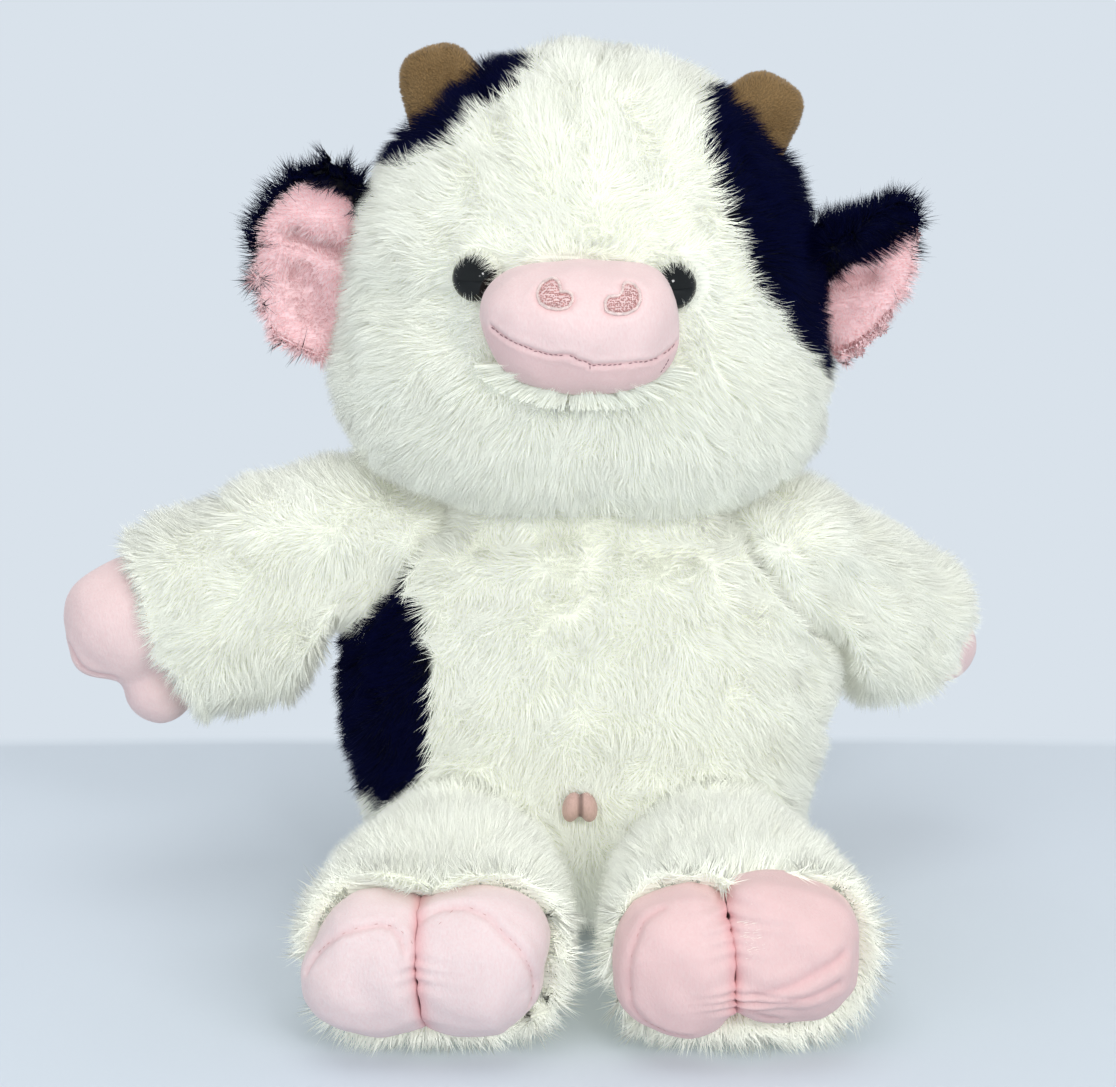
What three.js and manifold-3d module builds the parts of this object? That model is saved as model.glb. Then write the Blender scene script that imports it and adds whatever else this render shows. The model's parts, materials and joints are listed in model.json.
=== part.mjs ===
// A plush cow that sits on the floor with its legs out in front. Millimetres, +Z up. The toy looks
// along -Y, the origin is on the floor under its seat, and left and right are the toy's own.

import * as THREE from 'three';
import { mergeVertices } from 'three/addons/utils/BufferGeometryUtils.js';
import Module from 'manifold-3d';

const wasm = await Module();
wasm.setup();

// Cloth and clearances
const gap = 0.3; // between two pieces that touch
const furWall = 9; // long fur with its backing
const furDepth = 7; // how far a piece sewn to the backing sinks into the fur
const flatCut = 0.5; // how deep the weight of the toy flattens what it stands on
const beyond = 300; // farther than any piece of the toy reaches

// Torso
const torsoHeight = 158;
const torsoWidths = [140, 177, 152]; // at the seat, the belly and the shoulders
const torsoDepths = [104, 120, 100];
const torsoLean = 16; // how far back the neck lies from the seat
const neckRadius = 100; // of the round seat that the head turns on
const neckColumns = 24; // facets of that seat around the neck
const neckHole = 24; // radius of the opening through which the stuffing meets
const sidePatch = { front: 55, low: 47, high: 134, bulge: 7 };

// Seat pouch with beads
const pouchSize = { widths: [77, 86, 69], depths: [49, 54, 43], height: 17 };
const pouchBack = 20;

// Belly nub, a folded bit of cloth
const nubSize = { width: 11, height: 10, cloth: 2.4, out: 9, round: 1 };
const nubPlace = { x: -2, z: 54 };

// Head
const headHeight = 157;
const headLow = 143; // where the jowls end above the floor
const headWidths = [176, 168, 124]; // at the jowls, the eyes and the crown
const headDepths = [132, 144, 112];
const headBack = 14; // how far the middle of the head lies behind the origin
const headTilt = 2; // degrees to the toy's left
// Edges of the dark head panels in front view, from the middle of the head: down from the crown over
// a bend to the cheek, then over another bend to the side
const headPatches = {
  right: { crown: [-18, 78], bend: [-40, 58], cheek: [-68, 36], sideBend: [-122, 29], side: 22, turn: 14 },
  left: { crown: [34, 176], bend: [38, 30], cheek: [54, 8], sideBend: [66, -12], side: -34, turn: 0 },
};

// Muzzle, measured from the middle of the head
const muzzleWidths = [59, 63, 57]; // at the lip, the middle and the brow
const muzzleHeight = 42;
const muzzleOuts = [26, 29, 22]; // from the line up the muzzle to its front
const mouthWidth = 53;
const muzzlePlace = { x: -1.5, z: -7.5, inside: 2 };
const mouthLow = -11; // lowest point of the mouth under the middle of the muzzle
const mouthRise = 9; // how far its corners rise
const lipStep = 1.4; // how far the lower lip lies behind the pad
const threadSize = 1.4;
const nostrilSize = { width: 10, height: 9, bite: 2.6, out: 0.9 };
const nostrilPlace = { x: 10.5, z: 12 };

// Eyes with a shank and a washer behind the cloth
const eyeSize = 17;
const eyeOut = 6.5; // height of the dome over the backing
const eyeRim = 1;
const eyeShank = 4.6;
const eyeShankLength = 13;
const washerSize = 18;
const washerThick = 2;
const eyePlace = { x: 31, z: 7 };

// Horns
const hornSize = { widths: [34, 27, 23], depths: [27, 22, 18], length: 46, square: 3 };
const hornPlaces = {
  right: { x: 46, y: 5, z: 51, spread: 22 },
  left: { x: 51, y: 5, z: 46, spread: 30 },
};

// Ears: a fur back and a soft lining, cupped towards the front
const earLength = 40;
const earWidth = 70;
const earBackThick = 8;
const earLiningThick = 4;
const earRim = 5; // of fur around the lining
const earPlace = { y: -4, z: 1, sink: 3 };
const earPoses = { // cup radii over and under the middle, then degrees forward and the drift of the tip
  right: { over: 46, under: 34, forward: 14, drift: -9 },
  left: { over: 13, under: 40, forward: 10, drift: -15 },
};
const earRange = [-20, 20];

// Arms, measured along their own line from the shoulder
const shoulder = { x: 70, back: 8, z: 121 };
const armBall = 26;
const armWidths = [48, 66, 70];
const armHeights = [50, 82, 82];
const armLength = 80; // to the end of the fur
const hoofLobe = {
  widths: [40, 50, 43], heights: [36, 38, 32], length: 52, out: 30, apart: 24, seat: 12, shift: 2,
};
const armPoses = {
  right: { drop: 18, swing: 6, range: [-15, 15] },
  left: { drop: 42, swing: -52, range: [-6, 24] },
};

// Legs, measured along their own line from the hip
const hip = { x: 43, front: 43 };
const legBall = 29;
const legWidths = [56, 82, 93];
const legHeights = [52, 62, 66];
const legLength = 93; // to the end of the fur
const legSplay = 3;
const toeSize = {
  widths: [44, 44, 37], heights: [44, 49, 39], length: 38, out: 13, apart: 31, seat: 14,
};
const hipRange = [-20, 20];

// Tail
const tailPlace = { z: 36, sink: 4 };
const tailBall = 8;
const tailSize = { thicks: [15, 14, 11], length: 48, droop: 18 };
const tuftSize = { thicks: [19, 24, 7], length: 36, over: 8 };
const tailRange = [-30, 30];

// Cloths and their colours
const cloths = {
  whiteFur: { color: 0xf2f2ea, roughness: 0.95 },
  navyFur: { color: 0x0d1638, roughness: 0.95 },
  pinkPlush: { color: 0xf3c9c9, roughness: 0.85 },
  earPink: { color: 0xedb9bf, roughness: 0.9 },
  hornBrown: { color: 0x8c6a42, roughness: 0.9 },
  thread: { color: 0xb98585, roughness: 0.7 },
  eyeBlack: { color: 0x0a0b0d, roughness: 0.12 },
  washerPlastic: { color: 0xe9e9e4, roughness: 0.5 },
  filling: { color: 0xfbfbfa, roughness: 1 },
  beadCloth: { color: 0xd8d8d2, roughness: 0.9 },
};

const radians = THREE.MathUtils.degToRad;
const sides = [['right', -1], ['left', 1]];

// Solids and meshes

// Turns a closed three.js geometry into a solid that can be cut and joined
function solid(geometry) {
  const bare = geometry.clone();
  bare.deleteAttribute('normal');
  bare.deleteAttribute('uv');
  const merged = mergeVertices(bare, 1e-4);
  return new wasm.Manifold(new wasm.Mesh({
    numProp: 3,
    vertProperties: new Float32Array(merged.attributes.position.array),
    triVerts: new Uint32Array(merged.index.array),
  }));
}

function geometryOf(body) {
  const mesh = body.getMesh();
  const geometry = new THREE.BufferGeometry();
  geometry.setAttribute('position', new THREE.BufferAttribute(mesh.vertProperties, 3));
  geometry.setIndex(new THREE.BufferAttribute(mesh.triVerts, 1));
  geometry.computeVertexNormals();
  return geometry;
}

function meshOf(name, body, cloth) {
  const material = new THREE.MeshStandardMaterial({ ...cloths[cloth], metalness: 0 });
  const mesh = new THREE.Mesh(geometryOf(body), material);
  mesh.name = name;
  return mesh;
}

// Moves a solid by a matrix
const moved = (body, matrix) => body.transform([...matrix.elements]);
const shifted = (body, x, y, z) => moved(body, new THREE.Matrix4().makeTranslation(x, y, z));
// Takes a solid from the whole toy's frame into that of a group
const localTo = (body, group) => moved(body, group.matrixWorld.clone().invert());

function ball(radius, columns = 14, rows = 8) {
  return solid(new THREE.SphereGeometry(radius, columns, rows));
}

// A faceted ball that no facet of a ball of this radius inside it can reach as it turns
function roomForBall(radius, columns = 14, rows = 8) {
  return ball(radius / (Math.cos(Math.PI / columns) * Math.cos(Math.PI / rows / 2)), columns, rows);
}

function block(width, depth, height, x, y, z) {
  return shifted(solid(new THREE.BoxGeometry(width, depth, height)), x, y, z);
}

// An outline in the plane of x and z, pushed through the toy from front to back
function throughFront(outline, depth) {
  const plate = new THREE.ExtrudeGeometry(outline, { depth, bevelEnabled: false, curveSegments: 5 });
  plate.translate(0, 0, -depth / 2);
  plate.rotateX(Math.PI / 2);
  return solid(plate);
}

// Stuffed forms

const coarse = { rows: 6, columns: 14 }; // facets of a form that is hidden or only cuts another

const signedPower = (value, power) => Math.sign(value) * Math.abs(value) ** power;

// A smooth half size at height s, from -1 at the low end to 1 at the high end, through three sizes
function halfSize([low, middle, high], s, grow) {
  return (middle + s * (high - low) / 2 + s * s * ((high + low) / 2 - middle)) / 2 + grow;
}

// How much of its size a form keeps at height s as its two ends round off
function rounding(form, s) {
  const power = s < 0 ? form.round[0] : form.round[1];
  return Math.max(0, 1 - Math.abs(s) ** power) ** (1 / power);
}

// A stuffed form: superellipse rings up a leaning line that swell, taper and close at both ends
function stuffed(form, { grow = 0, rows = 10, columns = 20 } = {}) {
  const middle = (form.low + form.high) / 2;
  const reach = (form.high - form.low) / 2 + grow;
  const positions = [];
  const index = [];
  for (let row = 0; row <= rows; row++) {
    const angle = -Math.PI / 2 + Math.PI * row / rows;
    const power = 2 / (angle < 0 ? form.round[0] : form.round[1]);
    const s = signedPower(Math.sin(angle), power);
    const kept = Math.max(0, Math.cos(angle)) ** power;
    const end = row === 0 || row === rows;
    const width = kept * halfSize(form.widths, s, grow);
    const depth = kept * halfSize(form.depths, s, grow);
    const z = middle + s * reach;
    for (let column = 0; column < (end ? 1 : columns); column++) {
      const turn = 2 * Math.PI * column / columns;
      const x = end ? 0 : width * signedPower(Math.cos(turn), 2 / form.square);
      const y = end ? 0 : depth * signedPower(Math.sin(turn), 2 / form.square);
      positions.push(x, y + form.lean * (z - form.low) / (form.high - form.low), z);
    }
  }
  const ring = (row, column) => 1 + (row - 1) * columns + column % columns;
  const top = positions.length / 3 - 1;
  for (let column = 0; column < columns; column++) {
    index.push(0, ring(1, column + 1), ring(1, column));
    for (let row = 1; row < rows - 1; row++) {
      const [a, b] = [ring(row, column), ring(row, column + 1)];
      const [c, d] = [ring(row + 1, column), ring(row + 1, column + 1)];
      index.push(a, b, d, a, d, c);
    }
    index.push(ring(rows - 1, column), ring(rows - 1, column + 1), top);
  }
  const geometry = new THREE.BufferGeometry();
  geometry.setAttribute('position', new THREE.Float32BufferAttribute(positions, 3));
  geometry.setIndex(index);
  return solid(geometry);
}

// Distance from a form's leaning line to its front or back face at a place seen from the front
function faceDepth(form, x, z) {
  const middle = (form.low + form.high) / 2;
  const s = (z - middle) / ((form.high - form.low) / 2);
  const width = rounding(form, s) * halfSize(form.widths, s, 0);
  const depth = rounding(form, s) * halfSize(form.depths, s, 0);
  return depth * Math.max(0, 1 - Math.abs(x / width) ** form.square) ** (1 / form.square);
}

// Distance from a form's line to its side at height z
function sideReach(form, z) {
  const s = (z - (form.low + form.high) / 2) / ((form.high - form.low) / 2);
  return rounding(form, s) * halfSize(form.widths, s, 0);
}

const lineDepth = (form, z) => form.lean * (z - form.low) / (form.high - form.low);

const torsoForm = {
  low: -flatCut, high: torsoHeight, widths: torsoWidths, depths: torsoDepths,
  round: [4, 3], square: 2.3, lean: torsoLean,
};
const headForm = {
  low: -headHeight / 2, high: headHeight / 2, widths: headWidths, depths: headDepths,
  round: [4.2, 2.5], square: 2.3, lean: 0,
};

const armForm = {
  low: -armBall * 0.5, high: armLength, widths: armWidths, depths: armHeights,
  round: [3, 4], square: 2.3, lean: 0,
};
const legForm = {
  low: -legBall * 0.5, high: legLength, widths: legWidths, depths: legHeights,
  round: [3, 5.5], square: 2.4, lean: 0,
};

// The largest distance from a form's line to its upper or lower side
function fullest(form) {
  const heights = Array.from({ length: 41 }, (_, i) => i / 20 - 1);
  return Math.max(...heights.map((s) => rounding(form, s) * halfSize(form.depths, s, 0)));
}

const hipHeight = fullest(legForm) - flatCut;

// Groups: each body has its own, and the limbs' own +Z runs from the joint to the tip, with the
// hinge along their +X

const toy = new THREE.Group();
const torso = new THREE.Group();
const head = new THREE.Group();
head.position.set(0, headBack, headLow + headHeight / 2);
head.rotation.y = radians(headTilt);
toy.add(torso, head);

function limbGroup(joint, direction) {
  const group = new THREE.Group();
  group.position.copy(joint);
  const hinge = new THREE.Vector3().crossVectors(direction, new THREE.Vector3(0, 0, 1)).normalize();
  const under = new THREE.Vector3().crossVectors(direction, hinge);
  group.quaternion.setFromRotationMatrix(new THREE.Matrix4().makeBasis(hinge, under, direction));
  return group;
}

const arms = {};
const legs = {};
for (const [name, side] of sides) {
  const { drop, swing } = armPoses[name];
  const level = new THREE.Vector3(side * Math.cos(radians(swing)), -Math.sin(radians(swing)), 0);
  const along = level.multiplyScalar(Math.cos(radians(drop))).setZ(-Math.sin(radians(drop)));
  arms[name] = limbGroup(new THREE.Vector3(side * shoulder.x, shoulder.back, shoulder.z), along);
  legs[name] = limbGroup(
    new THREE.Vector3(side * hip.x, -hip.front, hipHeight),
    new THREE.Vector3(side * Math.sin(radians(legSplay)), -Math.cos(radians(legSplay)), 0),
  );
}
toy.add(arms.right, arms.left, legs.right, legs.left);
toy.updateMatrixWorld(true);

// Torso

// The neck seam lies on a round face about an upright line, so that the head can turn on it
function neckBall(radius, widen = 1) {
  const upright = new THREE.Matrix4().makeScale(widen, widen, 1)
    .multiply(new THREE.Matrix4().makeRotationX(Math.PI / 2));
  return shifted(moved(ball(radius, neckColumns, 14), upright), 0, torsoLean, torsoHeight - neckRadius);
}

const torsoSolid = (grow, detail) => stuffed(torsoForm, { grow, ...detail })
  .intersect(neckBall(neckRadius + grow));
const floor = block(2 * beyond, 2 * beyond, beyond, 0, 0, -beyond / 2);

// Where the tail leaves the torso
const tailRoot = {
  y: lineDepth(torsoForm, tailPlace.z) + faceDepth(torsoForm, 0, tailPlace.z) - tailPlace.sink,
  z: tailPlace.z,
};

// What the round roots of the arms, legs and tail take out of the torso
function sockets(clearance, columns, rows) {
  const room = (radius) => roomForBall(radius + clearance, columns, rows);
  const limbs = sides.flatMap(([, side]) => [
    shifted(room(armBall), side * shoulder.x, shoulder.back, shoulder.z),
    shifted(room(legBall), side * hip.x, -hip.front, hipHeight),
  ]);
  return wasm.Manifold.union([...limbs, shifted(room(tailBall), 0, tailRoot.y, tailRoot.z)]);
}

// The dark panel on the toy's right side, as seen from the front
function sidePatchCutter(grow) {
  const { front, low, high, bulge } = sidePatch;
  const outer = torsoWidths[1];
  const outline = new THREE.Shape();
  outline.moveTo(-outer, low - grow);
  outline.lineTo(-front - bulge / 2 + grow, low - grow);
  outline.quadraticCurveTo(-front + bulge + grow, (low + high) / 2, -front - bulge + grow, high + grow);
  outline.lineTo(-outer, high + grow);
  return throughFront(outline, 2 * torsoDepths[1]);
}

const torsoShell = torsoSolid(0).subtract(torsoSolid(-furWall, coarse))
  .subtract(sockets(gap)).subtract(floor)
  .subtract(solid(new THREE.CylinderGeometry(neckHole, neckHole, 4 * furWall, 24)
    .rotateX(Math.PI / 2).translate(0, torsoLean, torsoHeight)));

const nubFront = lineDepth(torsoForm, nubPlace.z) - faceDepth(torsoForm, nubPlace.x, nubPlace.z);

function bellyNub() {
  const { width, height, cloth, out, round } = nubSize;
  const fold = new THREE.Shape();
  fold.moveTo(-width / 2, 0);
  fold.lineTo(-width / 2, out - width / 2);
  fold.absarc(0, out - width / 2, width / 2, Math.PI, 0, true);
  fold.lineTo(width / 2, 0);
  fold.lineTo(width / 2 - cloth, 0);
  fold.lineTo(width / 2 - cloth, out - width / 2);
  fold.absarc(0, out - width / 2, width / 2 - cloth, 0, Math.PI, false);
  fold.lineTo(-width / 2 + cloth, 0);
  const loop = new THREE.ExtrudeGeometry(fold, {
    depth: height - 2 * round, curveSegments: 4,
    bevelSize: round, bevelThickness: round, bevelOffset: -round, bevelSegments: 1,
  });
  loop.translate(0, 0, round - height / 2);
  loop.rotateX(Math.PI);
  return solid(loop);
}

const nub = shifted(bellyNub(), nubPlace.x, nubFront + furDepth - gap, nubPlace.z);
const nubPocket = block(
  nubSize.width + 2 * gap, 2 * furDepth, nubSize.height + 2 * gap, nubPlace.x, nubFront, nubPlace.z,
);

const torsoCover = torsoShell.subtract(sidePatchCutter(gap)).subtract(nubPocket);
const torsoSidePatch = torsoShell.intersect(sidePatchCutter(0));

const pouchForm = {
  low: furWall + gap, high: furWall + gap + pouchSize.height,
  widths: pouchSize.widths, depths: pouchSize.depths,
  round: [3, 3], square: 2.6, lean: 0,
};
const pouch = (grow) => shifted(stuffed(pouchForm, { grow, rows: 6, columns: 16 }), 0, pouchBack, 0);
const torsoInside = torsoSolid(-furWall - gap, coarse).subtract(sockets(2 * gap, 10, 6));
const seatPouch = pouch(0).intersect(torsoInside);
const torsoStuffing = torsoInside.subtract(pouch(gap));

torso.add(
  meshOf('torso_cover', torsoCover, 'whiteFur'),
  meshOf('torso_side_patch', torsoSidePatch, 'navyFur'),
  meshOf('torso_stuffing', torsoStuffing, 'filling'),
  meshOf('seat_bead_pouch', seatPouch, 'beadCloth'),
  meshOf('belly_nub', nub, 'pinkPlush'),
);

// Head, in its own frame with the origin in its middle

const inHead = (body) => localTo(body, head);
const headSolid = (grow, detail) => stuffed(headForm, { grow, ...detail });
const backing = headSolid(-furDepth, { rows: 8, columns: 16 });
const cavity = headSolid(-furWall, coarse);
const neckSeat = (clearance) => inHead(
  neckBall(neckRadius + clearance, 1 / Math.cos(Math.PI / neckColumns)),
);

// The dark panels over the two upper corners of the head
function headPatchCutter(name, side, grow) {
  const { crown, bend, cheek, sideBend, side: sideHeight, turn } = headPatches[name];
  const outer = side * headWidths[0];
  const at = ([x, z]) => [x - side * grow, z - grow];
  const outline = new THREE.Shape();
  outline.moveTo(crown[0] - side * grow, headWidths[0]);
  outline.lineTo(...at(crown));
  outline.quadraticCurveTo(...at(bend), ...at(cheek));
  outline.quadraticCurveTo(...at(sideBend), outer, sideHeight - grow);
  outline.lineTo(outer, headWidths[0]);
  return moved(throughFront(outline, 2 * headDepths[1]), new THREE.Matrix4().makeRotationZ(radians(turn)));
}

const faceFront = (x, z) => -faceDepth(headForm, x, z);

// Muzzle: a pad over a lower lip, parted by the mouth
const muzzleMiddle = {
  x: muzzlePlace.x,
  y: faceFront(0, muzzlePlace.z) + muzzlePlace.inside,
  z: muzzlePlace.z,
};
const muzzleForm = {
  low: -muzzleHeight / 2, high: muzzleHeight / 2,
  widths: muzzleWidths, depths: muzzleOuts.map((out) => 2 * out),
  round: [2.4, 2.3], square: 2.2, lean: 0,
};
const muzzleSolid = (grow) => shifted(
  stuffed(muzzleForm, { grow, rows: 10, columns: 20 }), muzzleMiddle.x, muzzleMiddle.y, muzzleMiddle.z,
);
const mouthHeight = (x) => mouthLow + mouthRise * (2 * x / mouthWidth) ** 2;

// Everything over the mouth, seen from the front
function aboveMouth(lift) {
  const outline = new THREE.Shape();
  const reach = muzzleWidths[1];
  const steps = 8;
  outline.moveTo(-reach, muzzleHeight);
  for (let i = 0; i <= steps; i++) {
    const x = reach * (2 * i / steps - 1);
    outline.lineTo(x, mouthHeight(x) + lift);
  }
  outline.lineTo(reach, muzzleHeight);
  return shifted(throughFront(outline, 4 * muzzleOuts[1]), muzzleMiddle.x, muzzleMiddle.y, muzzleMiddle.z);
}

// Distance in front of the middle of the muzzle at a place on its face
const muzzleFront = (x, z) => -faceDepth(muzzleForm, x, z);

// The thread that draws the mouth in, laid along the seam on the pad
function mouthThread() {
  const points = [];
  const steps = 14;
  for (let i = 0; i <= steps; i++) {
    const x = mouthWidth * (i / steps - 0.5);
    const z = mouthHeight(x) + threadSize * 0.2;
    points.push(new THREE.Vector3(x, muzzleFront(x, z) - gap - threadSize / 2, z));
  }
  const corners = Array.from({ length: 6 }, (_, i) => Math.PI * i / 3);
  const section = new THREE.Shape(corners.map((turn) => new THREE.Vector2(
    threadSize / 2 * Math.cos(turn), threadSize / 2 * Math.sin(turn),
  )));
  const path = new THREE.CatmullRomCurve3(points);
  return solid(new THREE.ExtrudeGeometry(section, { steps: 16, extrudePath: path }));
}

// A nostril worked in raised stitches: a kidney with its bite towards the middle and down
function nostril(side) {
  const { width, height, bite, out } = nostrilSize;
  const outline = new THREE.Shape();
  outline.moveTo(-width * 0.3, -height * 0.45);
  outline.quadraticCurveTo(-width * 0.62, 0, -width * 0.3, height * 0.5);
  outline.quadraticCurveTo(width * 0.25, height * 0.62, width * 0.5, height * 0.15);
  outline.quadraticCurveTo(width * 0.5, -height * 0.5, width * 0.1, -height * 0.5);
  outline.quadraticCurveTo(width * 0.3, -bite * 0.3, -width * 0.05, bite * 0.2);
  outline.quadraticCurveTo(-width * 0.2, -bite * 0.3, -width * 0.3, -height * 0.45);
  const plate = throughFront(outline, 2 * muzzleOuts[1]);
  const { x, y, z } = muzzleMiddle;
  const placed = shifted(plate, x + side * nostrilPlace.x, y - muzzleOuts[1], z + nostrilPlace.z);
  return muzzleSolid(gap + out).subtract(muzzleSolid(gap)).intersect(placed);
}

// Eyes: a dome on a shank, pressed through the cloth into a washer
const eyeAim = {};
for (const [name, side] of sides) {
  const x = muzzlePlace.x + side * eyePlace.x;
  const back = faceDepth(headForm, x, eyePlace.z) - furDepth;
  const group = new THREE.Group();
  group.position.set(x, -back, eyePlace.z);
  const slope = (faceDepth(headForm, x + 1, eyePlace.z) - faceDepth(headForm, x - 1, eyePlace.z)) / 2;
  const rise = (faceDepth(headForm, x, eyePlace.z + 1) - faceDepth(headForm, x, eyePlace.z - 1)) / 2;
  const outward = new THREE.Vector3(-slope, -1, -rise).normalize();
  group.quaternion.setFromUnitVectors(new THREE.Vector3(0, 1, 0), outward);
  group.updateMatrix();
  eyeAim[name] = group;
}

// A turned piece on the line of an eye, from a profile of radius and height over the backing
const turned = (profile, segments = 14) => solid(
  new THREE.LatheGeometry(profile.map(([r, y]) => new THREE.Vector2(r, y)), segments),
);

function eyeSolid(grow) {
  const radius = eyeSize / 2 + grow;
  const shank = eyeShank / 2 + grow;
  const profile = [[0, -eyeShankLength - grow], [shank, -eyeShankLength - grow], [shank, gap - grow]];
  const rim = gap + eyeRim;
  profile.push([radius - eyeRim, gap - grow], [radius, rim - grow]);
  for (let i = 1; i < 5; i++) {
    const angle = Math.PI / 2 * i / 5;
    profile.push([radius * Math.cos(angle), rim + (eyeOut - rim + grow) * Math.sin(angle)]);
  }
  profile.push([0, eyeOut + grow]);
  return turned(profile);
}

function washerSolid(grow) {
  const low = -(furWall - furDepth) - gap - washerThick - grow;
  const high = -(furWall - furDepth) - gap + grow;
  const hole = eyeShank / 2 + gap - grow;
  const outer = washerSize / 2 + grow;
  return turned([[hole, low], [outer, low], [outer, high], [hole, high], [hole, low]]);
}

// Room in front of an eye through the fur
const eyeRoom = turned([
  [0, -gap], [eyeSize / 2 + gap, -gap], [eyeSize / 2 + gap, 3 * eyeOut], [0, 3 * eyeOut],
]);

const onEyes = (body) => wasm.Manifold.union(sides.map(([name]) => moved(body, eyeAim[name].matrix)));
const eyeHoles = onEyes(eyeSolid(gap).add(washerSolid(gap)));

// Horns: blunt squared stubs of short pile
const hornForm = {
  low: 0, high: hornSize.length,
  widths: hornSize.widths, depths: hornSize.depths,
  round: [4, 3.4], square: hornSize.square, lean: 0,
};

function hornSolid(name, side, grow) {
  const { x, y, z, spread } = hornPlaces[name];
  const upright = shifted(stuffed(hornForm, { grow, rows: 8, columns: 16 }), 0, 0, -hornSize.length / 2);
  const leaning = moved(upright, new THREE.Matrix4().makeRotationY(radians(side * spread)));
  return shifted(leaning, side * x, y, z);
}

const muzzleOnFace = (grow) => muzzleSolid(grow)
  .subtract(headSolid(gap - furDepth, { rows: 8, columns: 16 })).subtract(eyeHoles);
const muzzlePad = muzzleOnFace(0).intersect(aboveMouth(gap / 2));
const muzzleLip = muzzleOnFace(-lipStep).subtract(aboveMouth(-gap / 2));

const headDetail = { rows: 11, columns: 22 };
const headShell = headSolid(0, headDetail).subtract(cavity)
  .subtract(neckSeat(gap))
  .subtract(muzzleSolid(gap).subtract(backing))
  .subtract(wasm.Manifold.union(sides.map(([name, side]) => hornSolid(name, side, gap))).subtract(backing))
  .subtract(onEyes(eyeRoom)).subtract(eyeHoles);

const patchRoom = wasm.Manifold.union(sides.map(([name, side]) => headPatchCutter(name, side, gap)));
const headStuffing = headSolid(-furWall - gap, coarse)
  .subtract(neckSeat(2 * gap)).subtract(eyeHoles);

head.add(
  meshOf('head_cover', headShell.subtract(patchRoom), 'whiteFur'),
  meshOf('head_stuffing', headStuffing, 'filling'),
  meshOf('muzzle_pad', muzzlePad, 'pinkPlush'),
  meshOf('muzzle_lip', muzzleLip, 'pinkPlush'),
);
const mouth = meshOf('mouth_thread', mouthThread(), 'thread');
mouth.position.set(muzzleMiddle.x, muzzleMiddle.y, muzzleMiddle.z);
head.add(mouth);
for (const [name, side] of sides) {
  const hornBody = hornSolid(name, side, 0).subtract(headSolid(gap - furDepth, { rows: 8, columns: 16 }));
  head.add(
    meshOf(`head_patch_${name}`, headShell.intersect(headPatchCutter(name, side, 0)), 'navyFur'),
    meshOf(`nostril_${name}`, nostril(side), 'thread'),
    meshOf(`horn_${name}`, hornBody, 'hornBrown'),
  );
  eyeAim[name].add(
    meshOf(`eye_${name}`, eyeSolid(0), 'eyeBlack'),
    meshOf(`eye_washer_${name}`, washerSolid(0), 'washerPlastic'),
  );
  head.add(eyeAim[name]);
}

// Limbs

// Cuts a body back to where it stays clear of a larger one at rest and at both ends of its joint's
// range
function clearOfBody(body, keepOut, group, range) {
  const own = localTo(keepOut, group);
  const turned = [range[0], 0, range[1]].map(
    (angle) => moved(own, new THREE.Matrix4().makeRotationX(radians(-angle))),
  );
  return body.subtract(wasm.Manifold.union(turned));
}

const wholeTorso = torsoSolid(3 * gap);
const rootBall = (radius) => moved(ball(radius), new THREE.Matrix4().makeRotationZ(Math.PI / 2));
const behind = (z) => block(beyond, beyond, beyond, 0, 0, z - beyond / 2);

function limbPieces(form, group, range, root, tip, tipRoom, tipBase) {
  const tube = clearOfBody(stuffed(form, { rows: 8, columns: 16 }), wholeTorso, group, range);
  const hollowForm = { ...form, low: root - furWall };
  const hollow = (grow) => clearOfBody(
    stuffed(hollowForm, { grow: grow - furWall, rows: 5, columns: 10 }),
    torsoSolid(furWall - grow, coarse), group, range,
  );
  const sleeve = tube.add(rootBall(root)).subtract(hollow(0)).subtract(tipRoom)
    .subtract(localTo(floor, group));
  const filling = hollow(-gap).intersect(behind(tipBase - gap));
  return { sleeve, filling, tip: tip.map((body) => body.subtract(behind(tipBase))) };
}

// The end of an arm: two soft lobes with a cleft between them
function armTip(grow) {
  const { widths, heights, length, out, apart, shift } = hoofLobe;
  const high = armLength + out;
  const lobe = stuffed(
    { low: high - length, high, widths, depths: heights, round: [2.6, 2.3], square: 2.2, lean: 0 },
    { grow, rows: 7, columns: 14 },
  );
  return shifted(lobe, 0, apart / 2, -shift).add(shifted(lobe, 0, -apart / 2, 0));
}

// One of the two soft toes at the end of a leg, cut off at the cleft
function toe(side, grow) {
  const { widths, heights, length, out, apart } = toeSize;
  const high = legLength + out;
  const body = stuffed(
    { low: high - length, high, widths, depths: heights, round: [2.6, 2.5], square: 2.4, lean: 0 },
    { grow, rows: 7, columns: 16 },
  );
  const half = block(beyond, beyond, beyond, side * ((beyond + gap) / 2 - grow), 0, legLength);
  return shifted(body, side * apart / 2, 0, 0).intersect(half);
}

for (const [name, side] of sides) {
  const arm = limbPieces(
    armForm, arms[name], armPoses[name].range, armBall, [armTip(0)], armTip(gap), armLength - hoofLobe.seat,
  );
  arms[name].add(
    meshOf(`arm_sleeve_${name}`, arm.sleeve, 'whiteFur'),
    meshOf(`arm_hoof_${name}`, arm.tip[0], 'pinkPlush'),
    meshOf(`arm_stuffing_${name}`, arm.filling, 'filling'),
  );
  const leg = limbPieces(
    legForm, legs[name], hipRange, legBall, [toe(-1, 0), toe(1, 0)],
    toe(-1, gap).add(toe(1, gap)), legLength - toeSize.seat,
  );
  // The leg's own +X points to the toy's right
  legs[name].add(
    meshOf(`leg_sleeve_${name}`, leg.sleeve, 'whiteFur'),
    meshOf(`toe_${name === 'left' ? 'outer' : 'inner'}_${name}`, leg.tip[0], 'pinkPlush'),
    meshOf(`toe_${name === 'left' ? 'inner' : 'outer'}_${name}`, leg.tip[1], 'pinkPlush'),
    meshOf(`leg_stuffing_${name}`, leg.filling, 'filling'),
  );
}

// Ears: plump leaves bent about lines along their length, with +Z from the root to the tip, +Y to
// the back and the hinge along +X

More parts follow.
